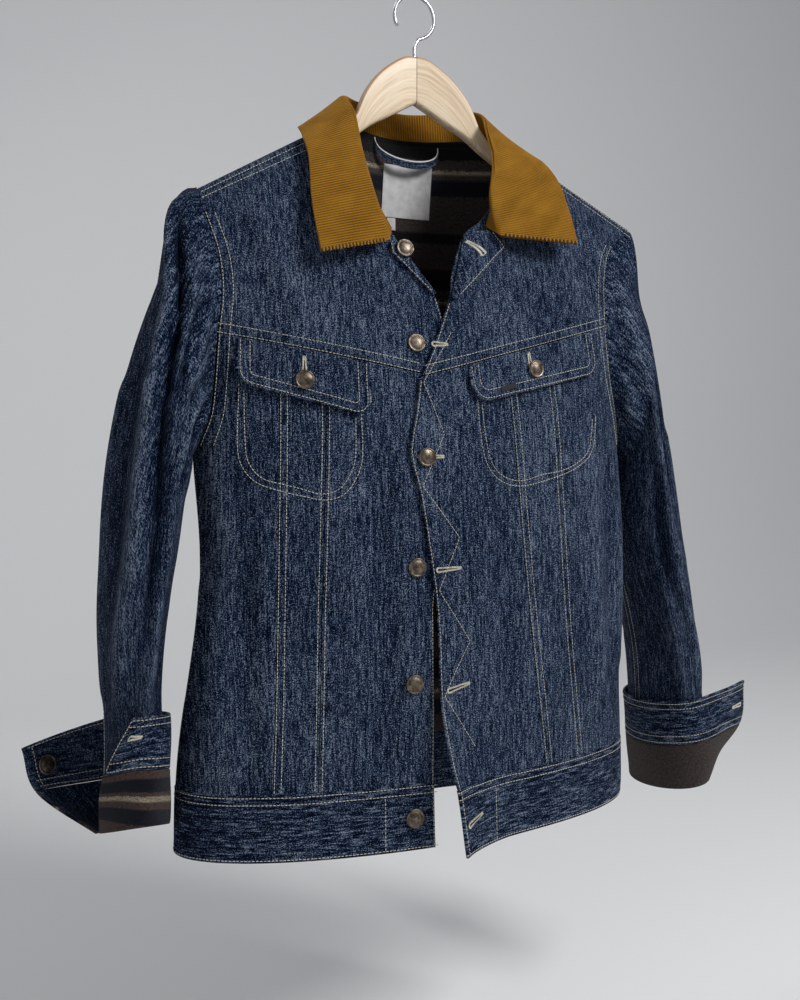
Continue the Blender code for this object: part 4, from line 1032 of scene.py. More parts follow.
LAPEL = {
    "left": (
        [(0, 1.25, -24.9), (1, -1.15, -31.5)],
        [(0, 4.2, -24.5), (0.2, 5.4, -26.1), (1, -0.65, -31.35)],
        (0.21, 0.54),
    ),
    "right": (
        [(0, -5.75, -26.1), (1, -2.3, -30.8)],
        [(0, -6.45, -26.3), (0.2, -6.35, -27.3), (1, -2.7, -31.0)],
        (0.20, 0.20),
    ),
}


def lapel_face(side, u, v, lift=0.0):
    roll, rim, (low, rise) = LAPEL[side]
    (roll_x, roll_z), (rim_x, rim_z) = path_between(roll, v), path_between(rim, v)
    swell = low + rise * np.sin(np.pi * np.clip(u, 0, 0.5))
    return front_face(side, mix(roll_x, rim_x, u), mix(roll_z, rim_z, u), swell + lift)


for side, sign in SIGN.items():
    grid = lapel_face(side, *lattice(26, 40))
    piece = cloth_wall(f"lapel_{side}", grid, DENIM, -sign, grain_of(grid), denim, denim)
    declare_sheet(piece, grid)

# %% [markdown]
# Inside the neck hangs the striped lining, with a bare white label and a hanging loop of self denim.
# The lining is a piece of its own here, because it shows through the open neck.


# %% Neck lining, label and loop
def make_neck():
    u, v = lattice(90, 90)
    x = mix(-8.6, 11.5, u)
    z = mix(NECK_TOP - 0.9 - 0.62 * np.maximum(0.0, np.abs(x) - 7.0), -36.5, v)
    grid = back_face(x, z, -PANEL - 0.11)
    piece = cloth_wall("lining_back", grid, 0.2, 1, (x, z), blanket, blanket)
    declare_sheet(piece, grid)
    u, v = lattice(30, 28)
    bow = 0.05 * np.sin(np.pi * u * 1.4) * np.sin(np.pi * v)
    grid = back_face(mix(-2.3, 3.35, u) - 0.35 * v, mix(-16.2, -21.6, v), -0.59 - bow)
    piece = cloth_wall("neck_label", grid, 0.06, 1, grain_of(grid), white_cloth, rim=0.02)
    declare_sheet(piece, grid)
    u, v = lattice(6, 8)
    grid = back_face(mix(-1.9, -0.9, u), mix(-21.66, -22.9, v), -0.59)
    piece = cloth_wall("neck_label_tab", grid, 0.06, 1, grain_of(grid), white_cloth, rim=0.02)
    declare_sheet(piece, grid)


LOOP_ENDS = np.array([(-3.3, 2.15, -14.2), (3.6, 2.05, -14.6)])


def loop_face(share, height, lift=0.0):
    """The hanging loop: an arc between its two ends, with height measured across the strip."""
    angle = np.pi * np.clip(share, 0.0, 1.0)
    middle, half = LOOP_ENDS.mean(axis=0), (LOOP_ENDS[1] - LOOP_ENDS[0]) / 2
    place = middle - half * np.cos(angle)[..., None]
    hang = 1.9 * np.maximum(np.sin(angle), 0.0) ** 0.8
    return place + xyz(0, -0.5 * np.sin(angle) - lift, height - hang)


make_neck()
u, v = lattice(60, 6)
grid = loop_face(u, mix(0.42, -0.42, v))
grain = (run_lengths(grid, 1), run_lengths(grid, 0))
piece = cloth_wall("locker_loop", grid, 0.12, 1, grain, denim_selvedge, denim_selvedge, rim=0.03)
declare_sheet(piece, grid)

# %% [markdown]
# The chest pockets close with flaps that hang from the yoke seam, their lower corners rounded. They
# are flat pieces moved out from the front, a little further at the bottom, so that they cast a thin
# shadow.

# %% Pocket flaps
Flap = namedtuple("Flap", "inner outer inner_drop outer_drop inner_corner outer_corner")
FLAP_TOP, FLAP_LIFT = 0.08, 0.27
FLAP = {"right": Flap(-9.45, -20.2, 4.8, 4.0, 1.3, 1.3), "left": Flap(0.2, 15.4, 3.65, 4.1, 2.0, 1.3)}


def flap_drop(side, x):
    flap = FLAP[side]
    share = (x - flap.inner) / (flap.outer - flap.inner)
    near = np.minimum(share, 1 - share) * abs(flap.outer - flap.inner)
    corner = np.where(share < 0.5, flap.inner_corner, flap.outer_corner)
    reach = np.clip(corner - near, 0.0, corner)
    return mix(flap.inner_drop, flap.outer_drop, share) - corner + np.sqrt(corner**2 - reach**2)


def flap_face(side, x, down, lift=0.0):
    """A point of a flap, so far down from its top."""
    share = down / flap_drop(side, x)
    stand = FLAP_LIFT + 0.28 * np.clip(share, 0.0, 1.2) ** 1.5
    curl = 0.05 * np.sin(x * 0.9 + 0.5) * share
    return front_face(side, x, seam_height(YOKE_SEAM[side], x) - FLAP_TOP - down, stand + curl + lift)


ends = 0.5 - 0.5 * np.cos(np.linspace(0, np.pi, 57))
for side, sign in SIGN.items():
    u, v = lattice(ends, 20)
    x = mix(FLAP[side].inner, FLAP[side].outer, u)
    grid = flap_face(side, x, flap_drop(side, x) * v)
    piece = cloth_wall(f"pocket_flap_{side}", grid, 0.2, -sign, grain_of(grid), denim, denim, rim=0.07)
    declare_sheet(piece, grid)
u, v = lattice(8, 6)
grid = flap_face("left", mix(3.4, 5.1, u), mix(2.77, 3.27, v), 0.10)
tab_piece = cloth_wall("flap_tab", grid, 0.06, -1, grain_of(grid), black_cloth_and_slit_shade, rim=0.02)
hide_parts("flap_tab")

# %% [markdown]
# An arm is a stack of leaning sections, joined to the armhole by a rounded cap. The sleeve is two
# pieces: the seam at the outer side ends in the cuff's slit, and the other one is under the arm. Its
# creases are tabled by the distance round, starting at the outer side and going by the back, and by
# height.

# %% Arms
Arm = namedtuple("Arm", "x y z across depth tilt lean")
SLEEVE = {
    "right": [
        Arm(25.3, -4.0, -38.4, 8.5, 5.6, 83.0, 0.0),
        Arm(26.4, -3.9, -42.2, 6.2, 6.0, 70.0, 0.0),
        Arm(27.3, -3.8, -46.5, 4.3, 6.1, 53.0, 0.0),
        Arm(28.1, -3.5, -54.0, 3.0, 5.8, 24.0, 0.0),
        Arm(28.5, -3.3, -60.0, 2.6, 5.6, 10.0, -0.02),
        Arm(28.5, -3.0, -66.0, 2.3, 5.4, 2.0, -0.14),
        Arm(28.4, -2.9, -72.0, 2.3, 5.3, 0.0, -0.30),
        Arm(28.5, -2.9, -77.5, 2.6, 5.2, 0.0, -0.34),
    ],
    "left": [
        Arm(22.9, -3.6, -38.2, 8.5, 4.7, 84.5, 0.0),
        Arm(23.6, -3.5, -42.2, 6.2, 5.0, 75.0, 0.0),
        Arm(24.3, -3.3, -46.7, 4.3, 5.2, 61.0, 0.0),
        Arm(25.4, -2.9, -54.0, 3.0, 5.3, 30.0, 0.0),
        Arm(27.3, -2.4, -61.0, 2.7, 5.3, 13.0, 0.0),
        Arm(28.9, -2.0, -67.0, 2.7, 5.3, 6.0, -0.02),
        Arm(29.8, -1.7, -73.5, 2.9, 5.3, 2.0, -0.06),
        Arm(30.2, -1.7, -80.0, 2.9, 5.2, 0.0, -0.06),
    ],
}
arms = {side: columns(rows) for side, rows in SLEEVE.items()}
OUTER_SHARE, UNDER_SHARE, HEAD, ROUND = 0.10, 0.45, 0.16, 30.0
CAP_FULLNESS = {"right": 1.25, "left": 0.6}
SLEEVE_DEPTH, SLEEVE_HELD = {"right": 1.8, "left": 1.6}, {"right": -69.5, "left": -72.5}
SLEEVE_CREASES = {
    "right": [
        Crease(29.0, -23.5, 26.7, -32.0, 0.70, 0.42),
        Crease(26.8, -30.5, 25.5, -41.0, 0.80, 0.52),
        Crease(25.5, -40.0, 24.9, -54.0, 0.95, 0.48),
        Crease(25.0, -53.0, 26.8, -67.0, 1.20, 0.34),
        Crease(27.8, -24.5, 25.7, -32.0, 0.55, -0.55),
        Crease(25.6, -31.0, 24.1, -40.0, 0.60, -0.62),
        Crease(24.2, -39.5, 23.3, -50.0, 0.70, -0.50),
        Crease(26.3, -26.0, 24.7, -32.0, 0.55, 0.30),
        Crease(24.6, -31.5, 23.4, -42.5, 0.60, 0.42),
        Crease(23.7, -32.0, 22.6, -40.0, 0.50, -0.38),
        Crease(23.2, -30.5, 22.0, -38.5, 0.50, 0.32),
        Crease(21.8, -36.5, 22.4, -44.0, 0.55, 0.34),
        Crease(19.2, -38.2, 21.2, -42.4, 0.50, 0.42),
        Crease(21.0, -42.0, 20.8, -48.0, 0.60, 0.40),
        Crease(18.8, -41.5, 19.8, -48.0, 0.80, -0.60),
        Crease(22.5, -47.0, 22.6, -60.0, 0.90, -0.42),
        Crease(20.6, -50.0, 21.6, -63.0, 0.90, 0.30),
        Crease(28.2, -36.0, 27.8, -58.0, 1.10, -0.30),
        Crease(22.0, -62.0, 23.5, -74.0, 0.90, 0.26),
        Crease(18.5, -60.0, 20.0, -74.0, 1.00, -0.28),
        Crease(1.0, -40.0, 2.0, -66.0, 1.10, 0.26),
        Crease(5.0, -36.0, 7.0, -60.0, 1.40, 0.35),
        Crease(9.0, -44.0, 11.0, -66.0, 1.30, -0.35),
        Crease(8.0, -58.0, 5.0, -72.0, 1.20, 0.30),
    ],
    "left": [
        Crease(25.6, -26.0, 22.8, -37.0, 0.85, 0.36),
        Crease(22.6, -36.0, 21.4, -46.0, 0.85, 0.38),
        Crease(21.5, -45.0, 22.6, -56.0, 0.95, 0.40),
        Crease(22.6, -55.0, 23.8, -70.0, 1.10, 0.34),
        Crease(24.0, -27.0, 21.4, -37.0, 0.70, -0.40),
        Crease(23.6, -38.0, 23.6, -52.0, 0.80, -0.36),
        Crease(20.8, -45.0, 21.0, -60.0, 0.80, -0.32),
        Crease(22.4, -30.0, 21.0, -37.5, 0.55, 0.42),
        Crease(21.0, -37.0, 19.4, -42.5, 0.55, 0.46),
        Crease(19.8, -34.0, 18.8, -40.0, 0.70, -0.48),
        Crease(25.6, -44.0, 26.4, -64.0, 0.90, 0.26),
        Crease(24.9, -58.0, 25.2, -76.0, 0.80, -0.26),
        Crease(28.5, -60.0, 29.5, -76.0, 0.90, -0.26),
        Crease(20.0, -60.0, 20.6, -76.0, 1.00, 0.28),
        Crease(4.0, -34.0, 6.0, -58.0, 1.40, 0.35),
        Crease(8.0, -40.0, 10.5, -64.0, 1.30, -0.35),
        Crease(9.0, -60.0, 6.0, -74.0, 1.20, 0.28),
    ],
}


def armhole_point(side, angle):
    """The armhole seam: angle 0 at the shoulder, a quarter turn to the back, then the armpit."""
    z = (ARMHOLE[0].z + ARMPIT) / 2 + (ARMHOLE[0].z - ARMPIT) / 2 * np.cos(angle)
    facing = np.where(np.sin(angle) > 0, 1, -1)
    behind, front = (getattr(armhole, way + side)(z) for way in ("back_", "front_"))
    x = SIGN[side] * (np.where(facing > 0, behind, front) + 0.06)
    return xyz(x, cloth_y(x, z, facing), z)


def sleeve_section(side, angle, z):
    """A section of the sleeve: the outer side at angle 0, the back a quarter turn on."""
    arm = arms[side]
    tilt, along = np.radians(arm.tilt(z)), arm.depth(z) * np.sin(angle)
    out = arm.across(z) * np.cos(angle)
    x = SIGN[side] * (arm.x(z) + out * np.cos(tilt))
    return xyz(x, arm.y(z) + along, z + out * np.sin(tilt) + arm.lean(z) * along)


def sleeve_point(side, share, down):
    angle, rows = 2 * np.pi * share, SLEEVE[side]
    t = np.clip(down / HEAD, 0.0, 1.0)
    start, end = armhole_point(side, angle), sleeve_section(side, angle, rows[0].z)
    full = mix(0.45, CAP_FULLNESS[side], (0.5 + 0.5 * np.cos(angle)) ** 3) * np.sin(np.pi * t**0.6)
    cap = mix(start, end, t[..., None]) + xyz(SIGN[side] * full, 0, 0.45 * np.cos(angle) * full)
    z = mix(rows[0].z, rows[-1].z, np.maximum(0.0, down - HEAD) / (1 - HEAD))
    return np.where((down < HEAD)[..., None], cap, sleeve_section(side, angle, z))


def sleeve_crease(side, share, down):
    """The creases' height, which fades towards the seam at the top and inside the turned-back cuff."""
    height = sleeve_point(side, share, down)[..., 2]
    around = (share * ROUND) % ROUND
    fold = sum(crease_height(SLEEVE_CREASES[side], around + turn, height) for turn in (0, ROUND, -ROUND))
    fold = SLEEVE_DEPTH[side] * fold + 1.4 * unevenness(around * 0.8, height)
    loose = 0.12 + 0.88 * ease((height - SLEEVE_HELD[side]) / 4.5)
    return fold * ease(down / 0.06) * ease((1.02 - down) / 0.06) * loose


def sleeve_face(side, share, down, lift=0.0):
    """The sleeve's outer face with its creases, and lift outside it."""
    share, down = np.broadcast_arrays(np.asarray(share, float), np.asarray(down, float))

    def surface(share, down):
        return sleeve_point(side, share, down)

    fold = sleeve_crease(side, share, down)
    return lifted(surface, share, down, -SIGN[side] * (fold + lift), step=0.002)


def make_sleeves():
    down = np.concatenate([np.linspace(0, HEAD, 21)[:-1], np.linspace(HEAD, 1.0, 100)])
    for side, sign in SIGN.items():
        halves = {"back": (OUTER_SHARE, UNDER_SHARE, 44), "front": (UNDER_SHARE, OUTER_SHARE + 1, 84)}
        for half, (start, end, count) in halves.items():
            u, v = lattice(count, down)
            share = mix(start + 0.0015, end - 0.0015, u)
            grid, paler_edges_and_fold_shade = sleeve_face(side, share, v), sleeve_crease(side, share, v)
            grain = (u * (end - start) * ROUND, run_lengths(grid, 1))
            name = f"sleeve_{half}_{side}"
            # Crown here paints the creases' light and shade half again as strong as on the body, and its
            # offset darkens each whole sleeve with painted shade.
            piece = cloth_wall(name, grid, PANEL, -sign, grain, denim, blanket_plain, crown=paler_edges_and_fold_shade * 1.5 - 0.45)
            declare_sheet(piece, grid)


make_sleeves()

# %% [markdown]
# The sleeve's end is turned back. First comes its lining, then the cuff, which is slit at the outer
# side, so that both of its ends stand away.

# %% Cuffs
Cuff = namedtuple(
    "Cuff", "level z back_end front_end back_out back_away back_drop front_out front_near stand"
)
CUFF = {
    "right": [
        Cuff(0, -77.9, 0.02, 0.985, 0.0, 0.0, 0.0, 0.0, 0.0, 0.36),
        Cuff(1, -73.1, 0.05, 0.900, 4.9, 2.0, 0.4, 0.9, 0.0, 0.55),
        Cuff(2, -68.0, 0.06, 0.810, 6.0, 3.0, 2.2, 0.2, 0.0, 0.66),
    ],
    "left": [
        Cuff(0, -81.0, 0.03, 0.955, 0.0, 0.0, 0.0, 0.0, 0.0, 0.36),
        Cuff(1, -76.3, 0.10, 0.990, 1.6, 0.5, 0.0, 3.8, 3.0, 0.55),
        Cuff(2, -71.6, 0.12, 1.000, 2.7, 0.9, 0.0, 5.0, 3.2, 0.66),
    ],
}
CUFF_ROLL = {"right": 0.0, "left": 0.19}
cuffs = {side: columns(rows, "level") for side, rows in CUFF.items()}


def cuff_point(side, along, level):
    """A point of a turned-back cuff, a share along it from its back end round to its front end."""
    cuff, arm = cuffs[side], arms[side]
    start, end, z = cuff.back_end(level), cuff.front_end(level), cuff.z(level)
    share = mix(start, end, along)
    angle = 2 * np.pi * share
    back = np.maximum(0.0, 1 - (share - start) / 0.27) ** 1.6
    front = np.maximum(0.0, 1 - (end - share) / 0.25) ** 1.6
    across = (arm.across(z) + cuff.stand(level)) * np.cos(angle)
    depth = (arm.depth(z) + cuff.stand(level)) * np.sin(angle)
    depth = depth + cuff.back_away(level) * back - cuff.front_near(level) * front
    height = z + arm.lean(z) * depth + CUFF_ROLL[side] * across - cuff.back_drop(level) * back
    across = across + cuff.back_out(level) * back + cuff.front_out(level) * front
    return xyz(SIGN[side] * (arm.x(z) + across), arm.y(z) + depth, height)


def cuff_face(side, along, level, lift=0.0):
    along, level = np.broadcast_arrays(np.asarray(along, float), np.asarray(level, float))

    def surface(along, level):
        return cuff_point(side, along, level)

    wave = unevenness(along * 34.0, level * 5.0) * 1.3 + 0.10 * np.sin(along * 25.0 + level * 2.0)
    wave = wave * np.sin(np.pi * np.clip(level / 2, 0, 1)) ** 0.5
    return lifted(surface, along, level, SIGN[side] * (wave + lift), step=0.002)


def make_cuffs():
    across = np.concatenate([np.linspace(0, 0.07, 7)[:-1], np.linspace(0.07, 0.93, 92)[:-1]])
    across = np.concatenate([across, np.linspace(0.93, 1.0, 7)])
    for side, sign in SIGN.items():
        u, v = lattice(across, 18)
        grid = cuff_face(side, u, mix(0.0, 0.994, v))
        down = run_lengths(grid, 1)
        grain = (run_lengths(grid, 0), down - down[:, -1:])
        lining = blanket_cuff if side == "right" else blanket_plain
        piece = cloth_wall(f"turned_lining_{side}", grid, BLANKET, sign, grain, lining, denim_shaded_inside, 0.08)
        declare_sheet(piece, grid)
        grid = cuff_face(side, u, mix(1.002, 2.0, v))
        grain = (run_lengths(grid, 1), run_lengths(grid, 0))
        piece = cloth_wall(f"cuff_{side}", grid, BAND, sign, grain, denim_band, denim, rim=0.12)
        declare_sheet(piece, grid)


make_cuffs()

# %% [markdown]
# Topstitching is modelled: each stitch is a small rounded length of thread, pressed into the cloth at
# both ends. One stitch is made and repeated along paths that are laid out on the same surfaces as the
# panels. A painted line would be lighter, but it wouldn't catch the light, nor cast the shadow that
# makes a seam read as sewn.

# %% Stitches
PITCH, STITCH, THREAD = 0.33, 0.27, 0.036
stitches = {}


def along_path(face, path, fineness=60, lift=0.02):
    """Points and normals of a path given by corners in a face's own coordinates."""
    path = np.array(path, float)
    t = np.linspace(0, len(path) - 1, fineness * (len(path) - 1) + 1)
    u, v = (np.interp(t, np.arange(len(path)), path[:, k]) for k in (0, 1))
    low, high = face(u, v, lift), face(u, v, lift + 0.2)
    run = np.concatenate([[0], np.cumsum(np.linalg.norm(np.diff(low, axis=0), axis=1))])
    return low, unit(high - low), run


def resample(values, run, at):
    return np.stack([np.interp(at, run, values[:, k]) for k in range(3)], axis=-1)


def sew(group, face, path, pitch=PITCH, length=STITCH, fineness=60):
    """A row of stitches along a path."""
    low, normal, run = along_path(face, path, fineness)
    count = max(1, int(run[-1] / pitch))
    middle = (np.arange(count) + 0.5) * run[-1] / count + rng.uniform(-0.015, 0.015, count)
    start, end = (resample(low, run, middle + way * length / 2) for way in (-1, 1))
    row = np.stack([start, end, unit(resample(normal, run, middle))], axis=1)
    stitches.setdefault(group, []).append(row)


def satin(group, face, path, half, pitch=0.06):
    """Close stitches across a path, as round a buttonhole or in a bar tack."""
    path = np.array(path, float)
    run = np.concatenate([[0], np.cumsum(np.hypot(*np.diff(path, axis=0).T))])
    at = np.linspace(0, run[-1], max(2, int(run[-1] / pitch)))
    u, v = (np.interp(at, run, path[:, k]) for k in (0, 1))
    aim = np.stack([np.gradient(u), np.gradient(v)])
    aim /= np.maximum(np.hypot(*aim), 1e-9)
    jitter = half * (1 + rng.uniform(-0.12, 0.12, at.size))
    start, end = (face(u - way * aim[1] * jitter, v + way * aim[0] * jitter, 0.02) for way in (-1, 1))
    normal = unit(face(u, v, 0.3) - face(u, v, 0.0))
    stitches.setdefault(group, []).append(np.stack([start, end, normal], axis=1))


def make_stitches(group, rows, material, radius=THREAD):
    """All the stitches of a group as one mesh: copies of a small rounded form."""
    bm = bmesh.new()
    bmesh.ops.create_uvsphere(bm, u_segments=4, v_segments=6, radius=1.0)
    form = np.array([vert.co for vert in bm.verts])
    faces = [[vert.index for vert in face.verts] for face in bm.faces]
    bm.free()
    rows = np.concatenate(rows)
    start, end, normal = rows[:, 0], rows[:, 1], rows[:, 2]
    along = (end - start) / 2
    side = unit(np.cross(normal, along)) * radius
    thick = unit(np.cross(along, side)) * radius
    axes = np.stack([side, thick, along], axis=1)
    places = (start + end)[:, None] / 2 + np.einsum("mk,nkc->nmc", form, axes)
    mesh = bpy.data.meshes.new(group)
    order = [[i * len(form) + k for k in face] for i in range(len(rows)) for face in faces]
    mesh.from_pydata((places.reshape(-1, 3) * CM).tolist(), [], order)
    mesh.shade_smooth()
    mesh.materials.append(material)
    piece = bpy.data.objects.new(group, mesh)
    bpy.context.scene.collection.objects.link(piece)
    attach(piece, "root")
    print(f"{group}: {len(rows)} stitches")
    return piece


# %% [markdown]
# Where the rows go: two beside every long seam, above the yoke seams, round the flaps and the pocket
# bags, at both edges of the band and the cuffs, and one along each front edge. A plain zigzag of even
# pitch runs down the left one.


# %% Sewing the body
def on_front(side):
    return lambda x, z, lift: front_face(side, x, z, lift)


def on_flap(side):
    return lambda x, down, lift: flap_face(side, x, down, lift)


def band_face(side):
    return lambda x, z, lift: front_face(side, x, z, 0.06 + lift)


def flap_outline(flap, inset):
    """A path down one side of a flap, round its corners and up the other side."""
    way = np.sign(flap.outer - flap.inner)
    path = [(flap.inner + way * inset, 0.15)]
    for turn in np.linspace(0, np.pi / 2, 6):
        across, along = (flap.inner_corner - inset) * np.array([np.cos(turn), np.sin(turn)])
        x = flap.inner + way * (flap.inner_corner - across)
        path.append((x, flap.inner_drop - flap.inner_corner + along))
    for turn in np.linspace(np.pi / 2, 0, 6):
        across, along = (flap.outer_corner - inset) * np.array([np.cos(turn), np.sin(turn)])
        x = flap.outer - way * (flap.outer_corner - across)
        path.append((x, flap.outer_drop - flap.outer_corner + along))
    return path + [(flap.outer - way * inset, 0.15)]


POCKET_BAG = {
    "right": [
        (-20.21, -39.25), (-20.42, -44.69), (-20.11, -46.41), (-19.05, -47.79), (-17.11, -48.56),
        (-15.01, -49.09), (-13.35, -49.37), (-11.81, -48.86), (-10.66, -47.31), (-10.18, -45.66),
        (-10.15, -41.81),
    ],
    "left": [
        (0.94, -40.45), (1.07, -43.55), (1.64, -46.18), (3.06, -47.76), (5.29, -48.44), (8.89, -47.87),
        (12.50, -46.80), (14.80, -45.08), (15.64, -41.83),
    ],
}


def shrink(path, inset):
    """The path moved towards its middle by a distance."""
    path = np.array(path)
    away = path - path.mean(axis=0)
    return path - inset * away / np.hypot(*away.T)[:, None]


def rounded(path, count=70):
    """A smooth curve through the corners of a path."""
    Corner = namedtuple("Corner", "at place")
    path = np.array(path)
    run = np.concatenate([[0], np.cumsum(np.hypot(*np.diff(path, axis=0).T))])
    curve = reader([Corner(at, place) for at, place in zip(run, path)], "place", "at")
    return curve(np.linspace(0, run[-1], count))


def sew_fronts():
    for side, sign in SIGN.items():
        face, group, seam = on_front(side), f"stitching_front_{side}", YOKE_SEAM[side]
        arm_x = armhole.front_right if side == "right" else armhole.front_left
        heights = np.linspace(-24.2, ARMPIT + 0.8, 16)
        edge_heights = np.linspace(-38.9, BAND_TOP - 0.2, 24)
        for apart in (0.12, 0.90):
            ends = (seam.x1 + (0.25 if side == "left" else 0.0), sign * (abs(seam.x0) + 0.1))
            sew(group, face, [(x, seam_height(seam, x) + apart) for x in np.linspace(*ends, 12)])
            sew(group, face, [(sign * (arm_x(z) - apart), z) for z in heights])
            sew(group, on_flap(side), flap_outline(FLAP[side], apart * 0.95 + 0.05))
            sew(group, face, shrink(rounded(POCKET_BAG[side]), apart * 0.8 - 0.1))
        for name in (f"inner_{side}", f"outer_{side}"):
            top = seam_height(seam, float(long_seam(name, -41.0)))
            zs = np.linspace(top - 3.6, BAND_TOP + 0.1, 14)
            for aside in SEAM_ROWS[name]:
                sew(group, face, [(float(long_seam(name, z)) + aside, z) for z in zs])
        for z in (BAND_TOP - 0.25, BAND_TOP - 0.85, HEM + 0.25):
            ends = (front_edge[side](z) - sign * 0.25, sign * (half_width(sign, z) - 0.02))
            turns = np.linspace(*(turn_of(side, x, z) for x in ends), 40)
            sew(group, band_face(side), [(sign * half_width(sign, z) * np.cos(a), z) for a in turns])
        step = 0.16 if side == "left" else -0.16
        neck_x = neckline.right_x if side == "right" else neckline.left_x
        neck_z = neckline.right_z if side == "right" else neckline.left_z
        sew(group, face, [(neck_x(r) + step, neck_z(r)) for r in np.linspace(0.9, 0.995, 7)])
        sew(group, face, [(front_edge[side](z) + step, z) for z in edge_heights])
        sew(group, band_face(side), [(front_edge[side](z) + step, z) for z in (BAND_TOP - 0.2, HEM + 0.2)])
        lapel = [(0.94, 0.02), (0.95, 0.2), (0.93, 0.4), (0.9, 0.7), (0.8, 0.95)]
        sew(group, lambda u, v, lift, side=side: lapel_face(side, u, v, lift), lapel)
    turns = np.arange(-34.4, BAND_TOP - 0.4, -4.62)
    zigzag = [(front_edge["left"](min(z, -38.0)) + (3.1, 0.4)[k % 2], z) for k, z in enumerate(turns)]
    zigzag[0] = (-1.35, -34.4)
    sew("stitching_front_left", on_front("left"), zigzag, 0.3, 0.25, 30)
    for side, x in (("right", -8.5), ("left", 1.75)):
        sew(f"stitching_front_{side}", band_face(side), [(x, BAND_TOP - 0.95), (x, HEM + 0.25)])


def sew_back():
    group = "stitching_back"

    def below(x, z, lift):
        return back_face(x, z, lift)

    for apart in (0.18, 0.88):
        for start, end in ((-19.4, 0.0), (0.0, 19.4)):
            sew(group, below, [(x, BACK_YOKE_Z + apart) for x in np.linspace(start, end, 12)])
        for side, sign in SIGN.items():
            line = BACK_SEAM[side]
            zs = np.linspace(BACK_YOKE_Z - 0.2, BAND_TOP + 0.3, 16)
            sew(group, below, [(along_line(line, z) - sign * (apart - 0.06), z) for z in zs])
            zs = np.linspace(-25.5, ARMPIT + 0.8, 16)
            sew(group, below, [(sign * (getattr(armhole, f"back_{side}")(z) - apart), z) for z in zs])
            xs = np.linspace(8.8, 22.9, 14) * sign
            down = 0.19 if apart < 0.5 else 0.275
            sew(group, lambda x, over, lift: over_ridge(x, over, lift), [(x, down) for x in xs])
    for z in (BAND_TOP - 0.25, BAND_TOP - 0.85, HEM + 0.25):
        turns = np.linspace(0.06, np.pi - 0.06, 60)
        path = [(half_width(np.cos(a), z) * np.cos(a), z) for a in turns]
        sew(group, lambda x, z, lift: back_face(x, z, 0.06 + lift), path)


sew_fronts()
sew_back()

# %% [markdown]
# A buttonhole is worked with close stitches round a slit that ends in an eye. A bar tack holds the
# other end of each slit.

# %% Buttonholes and tacks
Hole = namedtuple("Hole", "u v length degrees")


def buttonhole(group, face, hole, scale=(1.0, 1.0)):
    """Stitches round a keyhole: a straight slit and an eye at its far end."""
    c, s = math.cos(math.radians(hole.degrees)), math.sin(math.radians(hole.degrees))
    half, eye = hole.length / 2, 0.2
    turns = np.radians(np.linspace(125, -125, 13))
    keyhole = [(half - eye + eye * np.cos(a), eye * np.sin(a)) for a in turns]
    path = [(-half, 0.07)] + keyhole + [(-half, -0.07)]

    def place(p, q):
        return hole.u + (p * c - q * s) * scale[0], hole.v + (p * s + q * c) * scale[1]

    def worked(p, q, lift):
        return face(*place(p, q), lift)

    satin(group, worked, path, 0.10)
    satin(group, worked, [(-half - 0.05, -0.1), (-half - 0.05, 0.1)], 0.09)
    # The slit is a dark stitch of the black cloth: painted shade inside the cut.
    slit = [worked(np.array([p]), np.zeros(1), 0.03) for p in (-half + 0.2, half - 0.08)]
    normal = unit(worked(np.zeros(1), np.zeros(1), 0.3) - worked(np.zeros(1), np.zeros(1), 0.0))
    stitches.setdefault("buttonhole_slits", []).append(np.stack([slit[0], slit[1], normal], axis=1))


FRONT_HOLES = [
    Hole(-2.65, -35.54, 1.5, 180), Hole(-4.05, -45.66, 2.4, 180), Hole(-2.59, -55.64, 2.3, 183),
    Hole(-1.98, -66.07, 2.3, 192), Hole(-1.13, -77.44, 2.0, 196),
]
for hole in FRONT_HOLES:
    buttonhole("stitching_front_left", band_face("left") if hole.v < BAND_TOP else on_front("left"), hole)
for side, hole in (("right", Hole(-14.93, 1.75, 2.1, 90)), ("left", Hole(7.0, 1.3, 1.8, 84))):
    buttonhole(f"stitching_front_{side}", on_flap(side), hole)
buttonhole(
    "stitching_front_left",
    lambda u, v, lift: lapel_face("left", u, v, lift),
    Hole(0.34, 0.23, 2.3, 38),
    (0.28, 0.148),
)


CUFF_HOLE = {"right": Hole(0.928, 1.62, 2.0, 0), "left": Hole(0.93, 1.5, 2.0, 0)}
CUFF_WING = {"right": (0.012, 0.30), "left": (0.988, 0.70)}


def sew_arms():
    for side, sign in SIGN.items():
        group = f"stitching_sleeve_{side}"

        def face(share, down, lift, side=side):
            return sleeve_face(side, share, down, lift)

        for apart in (0.15, 0.85):
            downs = np.linspace(0.02, 0.93, 40)
            sew(group, face, [(OUTER_SHARE - apart / ROUND, d) for d in downs], fineness=20)
            sew(group, face, [(UNDER_SHARE + apart / ROUND, d) for d in downs], fineness=20)

        def turned(along, level, lift, side=side):
            return cuff_face(side, along, level, lift)

        alongs = np.linspace(0.012, 0.988, 60)
        for level in (1.06, 1.20, 1.83, 1.95):
            sew(group, turned, [(a, level) for a in alongs], fineness=12)
        for along in (0.010, 0.990):
            sew(group, turned, [(along, level) for level in np.linspace(1.08, 1.95, 6)])

        def behind(along, level, lift, side=side):
            return cuff_face(side, along, level, -BAND - lift)

        near, far = CUFF_WING[side]
        for level in (1.06, 1.20, 1.95):
            sew(group, behind, [(a, level) for a in np.linspace(near, far, 20)], fineness=12)
        sew(group, behind, [(near + 0.012 * (1 if near < 0.5 else -1), level) for level in (1.08, 1.5, 1.95)])
        buttonhole(group, turned, CUFF_HOLE[side], (1 / 34.0, 1 / 5.0))


